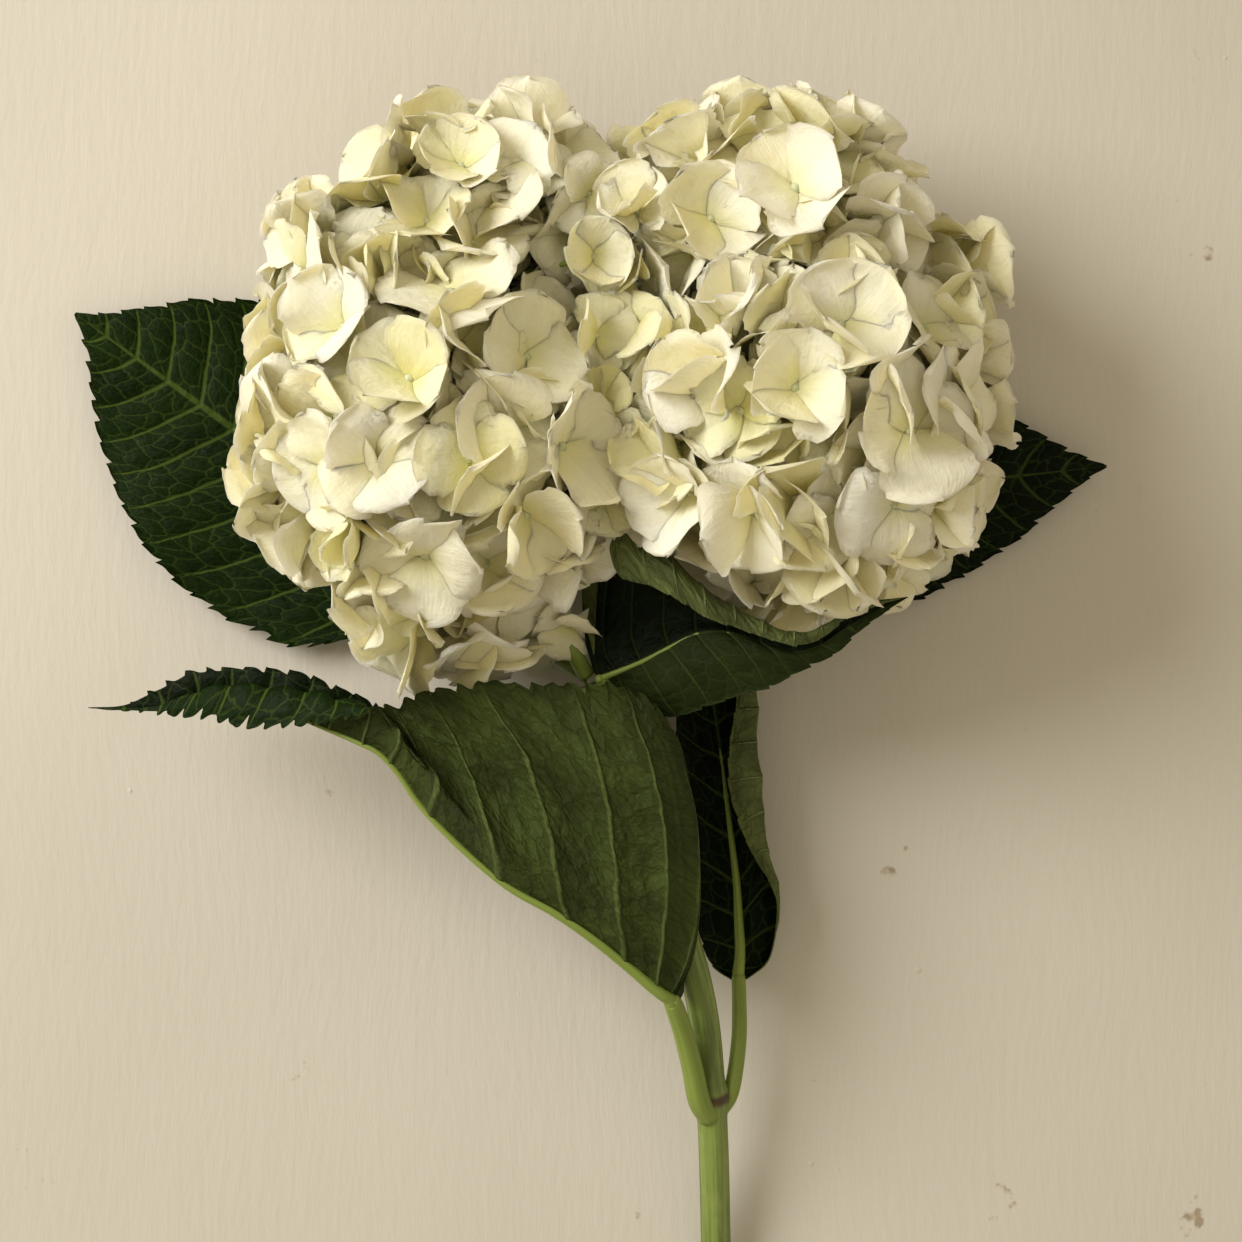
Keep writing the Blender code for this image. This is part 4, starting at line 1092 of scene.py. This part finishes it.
def add_head(side, florets, stalk, rays, materials):
    """The florets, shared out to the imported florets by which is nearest, one piece for each packed floret."""
    paths = [stalk[1:]] + ray_paths(stalk, rays)
    names = [f"{side}_floret_{n + 1:02d}" for n in range(FLORETS_IN_HEAD)]
    boxes = np.array([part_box(name) for name in names])
    middles = boxes.mean(axis=1) * 1000 + SKETCH_ORIGIN
    groups = {name: [] for name in names}
    for floret in florets:
        groups[names[int(np.argmin(np.linalg.norm(middles - floret["centre"], axis=1)))]].append(floret)
    for name, members in groups.items():
        parts, faces, kinds, uvs, tints = [], [], [], [], []
        start = 0
        for floret in members:
            points, new_faces, new_kinds, uv, tint = floret_mesh(floret, nearest_on(paths, floret["centre"]))
            parts.append(points)
            faces += [tuple(i + start for i in f) for f in new_faces]
            kinds += new_kinds
            uvs.append(uv)
            tints.append(tint)
            start += len(points)
        uvs = {"Sepal": np.concatenate(uvs)}
        visible_piece(name, np.concatenate(parts), faces, uvs, materials, kinds, np.concatenate(tints))


# ---- stage
def board_material():
    """Cream paint brushed on by hand: long fine strokes, small bumps and a few specks of dirt."""
    s = Shader("painted_board")
    place = s.object_place()
    x, y, _ = s.split(place)
    slow = s.times(s.noise(place, 6.0, 2.0), 0.03)
    strokes = s.noise(s.stretch((s.plus(x, slow), 420.0), (y, 80.0)), 1.0, 5.0, 0.6)
    broad = s.noise(s.stretch((x, 90.0), (y, 16.0)), 1.0, 3.0)
    grit = s.noise(place, 240.0, 2.0)
    dots = s.add("ShaderNodeTexVoronoi", (("Vector", place), ("Scale", 44.0))).outputs["Distance"]
    dent = s.ramp(s.plus(dots, s.times(grit, 0.08)), 0.085, 0.045)
    speck = s.ramp(s.plus(s.times(grit, 0.35), s.noise(place, 31.0, 2.0)), 0.90, 0.96, 0.0, 0.8)
    colour = s.mix(s.ramp(s.noise(place, 5.0, 3.0), 0.3, 0.7), (0.575, 0.537, 0.462), (0.610, 0.572, 0.495))
    colour = s.mix(s.ramp(strokes, 0.62, 0.75, 0.0, 0.25), colour, (0.51, 0.47, 0.385))
    s.set("Base Color", s.mix(speck, colour, (0.30, 0.22, 0.13)))
    s.set("Roughness", 0.62)
    s.set("Specular IOR Level", 0.3)
    s.bump(s.plus(s.plus(s.times(strokes, 0.6), s.times(broad, 0.5)), s.times(dent, 0.8)), 0.45, 0.0007)
    return s.material


def in_scene(name, data):
    made = bpy.data.objects.new(name, data)
    bpy.context.scene.collection.objects.link(made)
    return made


def add_board():
    mesh = bpy.data.meshes.new("board")
    corners = [(x * BOARD_HALF, y * BOARD_HALF, 0) for x, y in ((-1, -1), (1, -1), (1, 1), (-1, 1))]
    mesh.from_pydata(corners, [], [(0, 1, 2, 3)])
    mesh.materials.append(board_material())
    in_scene("board", mesh)


def add_lights():
    """A soft window to the upper left, and the room's warm light from all round."""
    world = bpy.data.worlds.new("room")
    world.use_nodes = True
    background = world.node_tree.nodes["Background"].inputs
    background["Color"].default_value = ROOM_COLOUR
    background["Strength"].default_value = ROOM_STRENGTH
    bpy.context.scene.world = world
    window = bpy.data.lights.new("window", "AREA")
    window.shape = "DISK"
    window.size = WINDOW_SIZE
    window.spread = WINDOW_SPREAD
    window.energy = WINDOW_POWER
    window.color = WINDOW_COLOUR
    lamp = in_scene("window", window)
    lamp.location = WINDOW_PLACE
    lamp.rotation_mode = "QUATERNION"
    lamp.rotation_quaternion = (Vector(WINDOW_TARGET) - Vector(WINDOW_PLACE)).to_track_quat("-Z", "Y")


def add_camera():
    """Straight above the sketch's origin."""
    data = bpy.data.cameras.new("camera")
    data.sensor_width = 36
    data.lens = data.sensor_width / 2 / math.tan(CAMERA_ANGLE / 2)
    camera = in_scene("camera", data)
    camera.location = to_row((0, 0, CAMERA_HEIGHT)).tolist()
    bpy.context.scene.camera = camera


def build():
    stem, stalk, sepal, bud = stem_material(), stalk_material(), sepal_material(), bud_material()
    add_stem(stem)
    add_flower_stalk("left_flower_stalk", LEFT_STALK, LEFT_RAYS, stalk)
    add_flower_stalk("right_flower_stalk", RIGHT_STALK, RIGHT_RAYS, stalk)
    head = Head()
    for grid in add_leaves(stalk):
        head.keep_clear_of(grid)
    left = grow_head(head, LEFT_LOBES, RIGHT_LOBES, LEFT_CHIEFS, LEFT_VALLEY)
    right = grow_head(head, RIGHT_LOBES, LEFT_LOBES, RIGHT_CHIEFS, RIGHT_VALLEY)
    add_head("left", left, LEFT_STALK, LEFT_RAYS, [sepal, bud, stalk])
    add_head("right", right, RIGHT_STALK, RIGHT_RAYS, [sepal, bud, stalk])
    add_board()
    add_lights()
    add_camera()
    bpy.context.scene.view_settings.view_transform = "Standard"
    bpy.context.scene.view_settings.look = "None"


build()
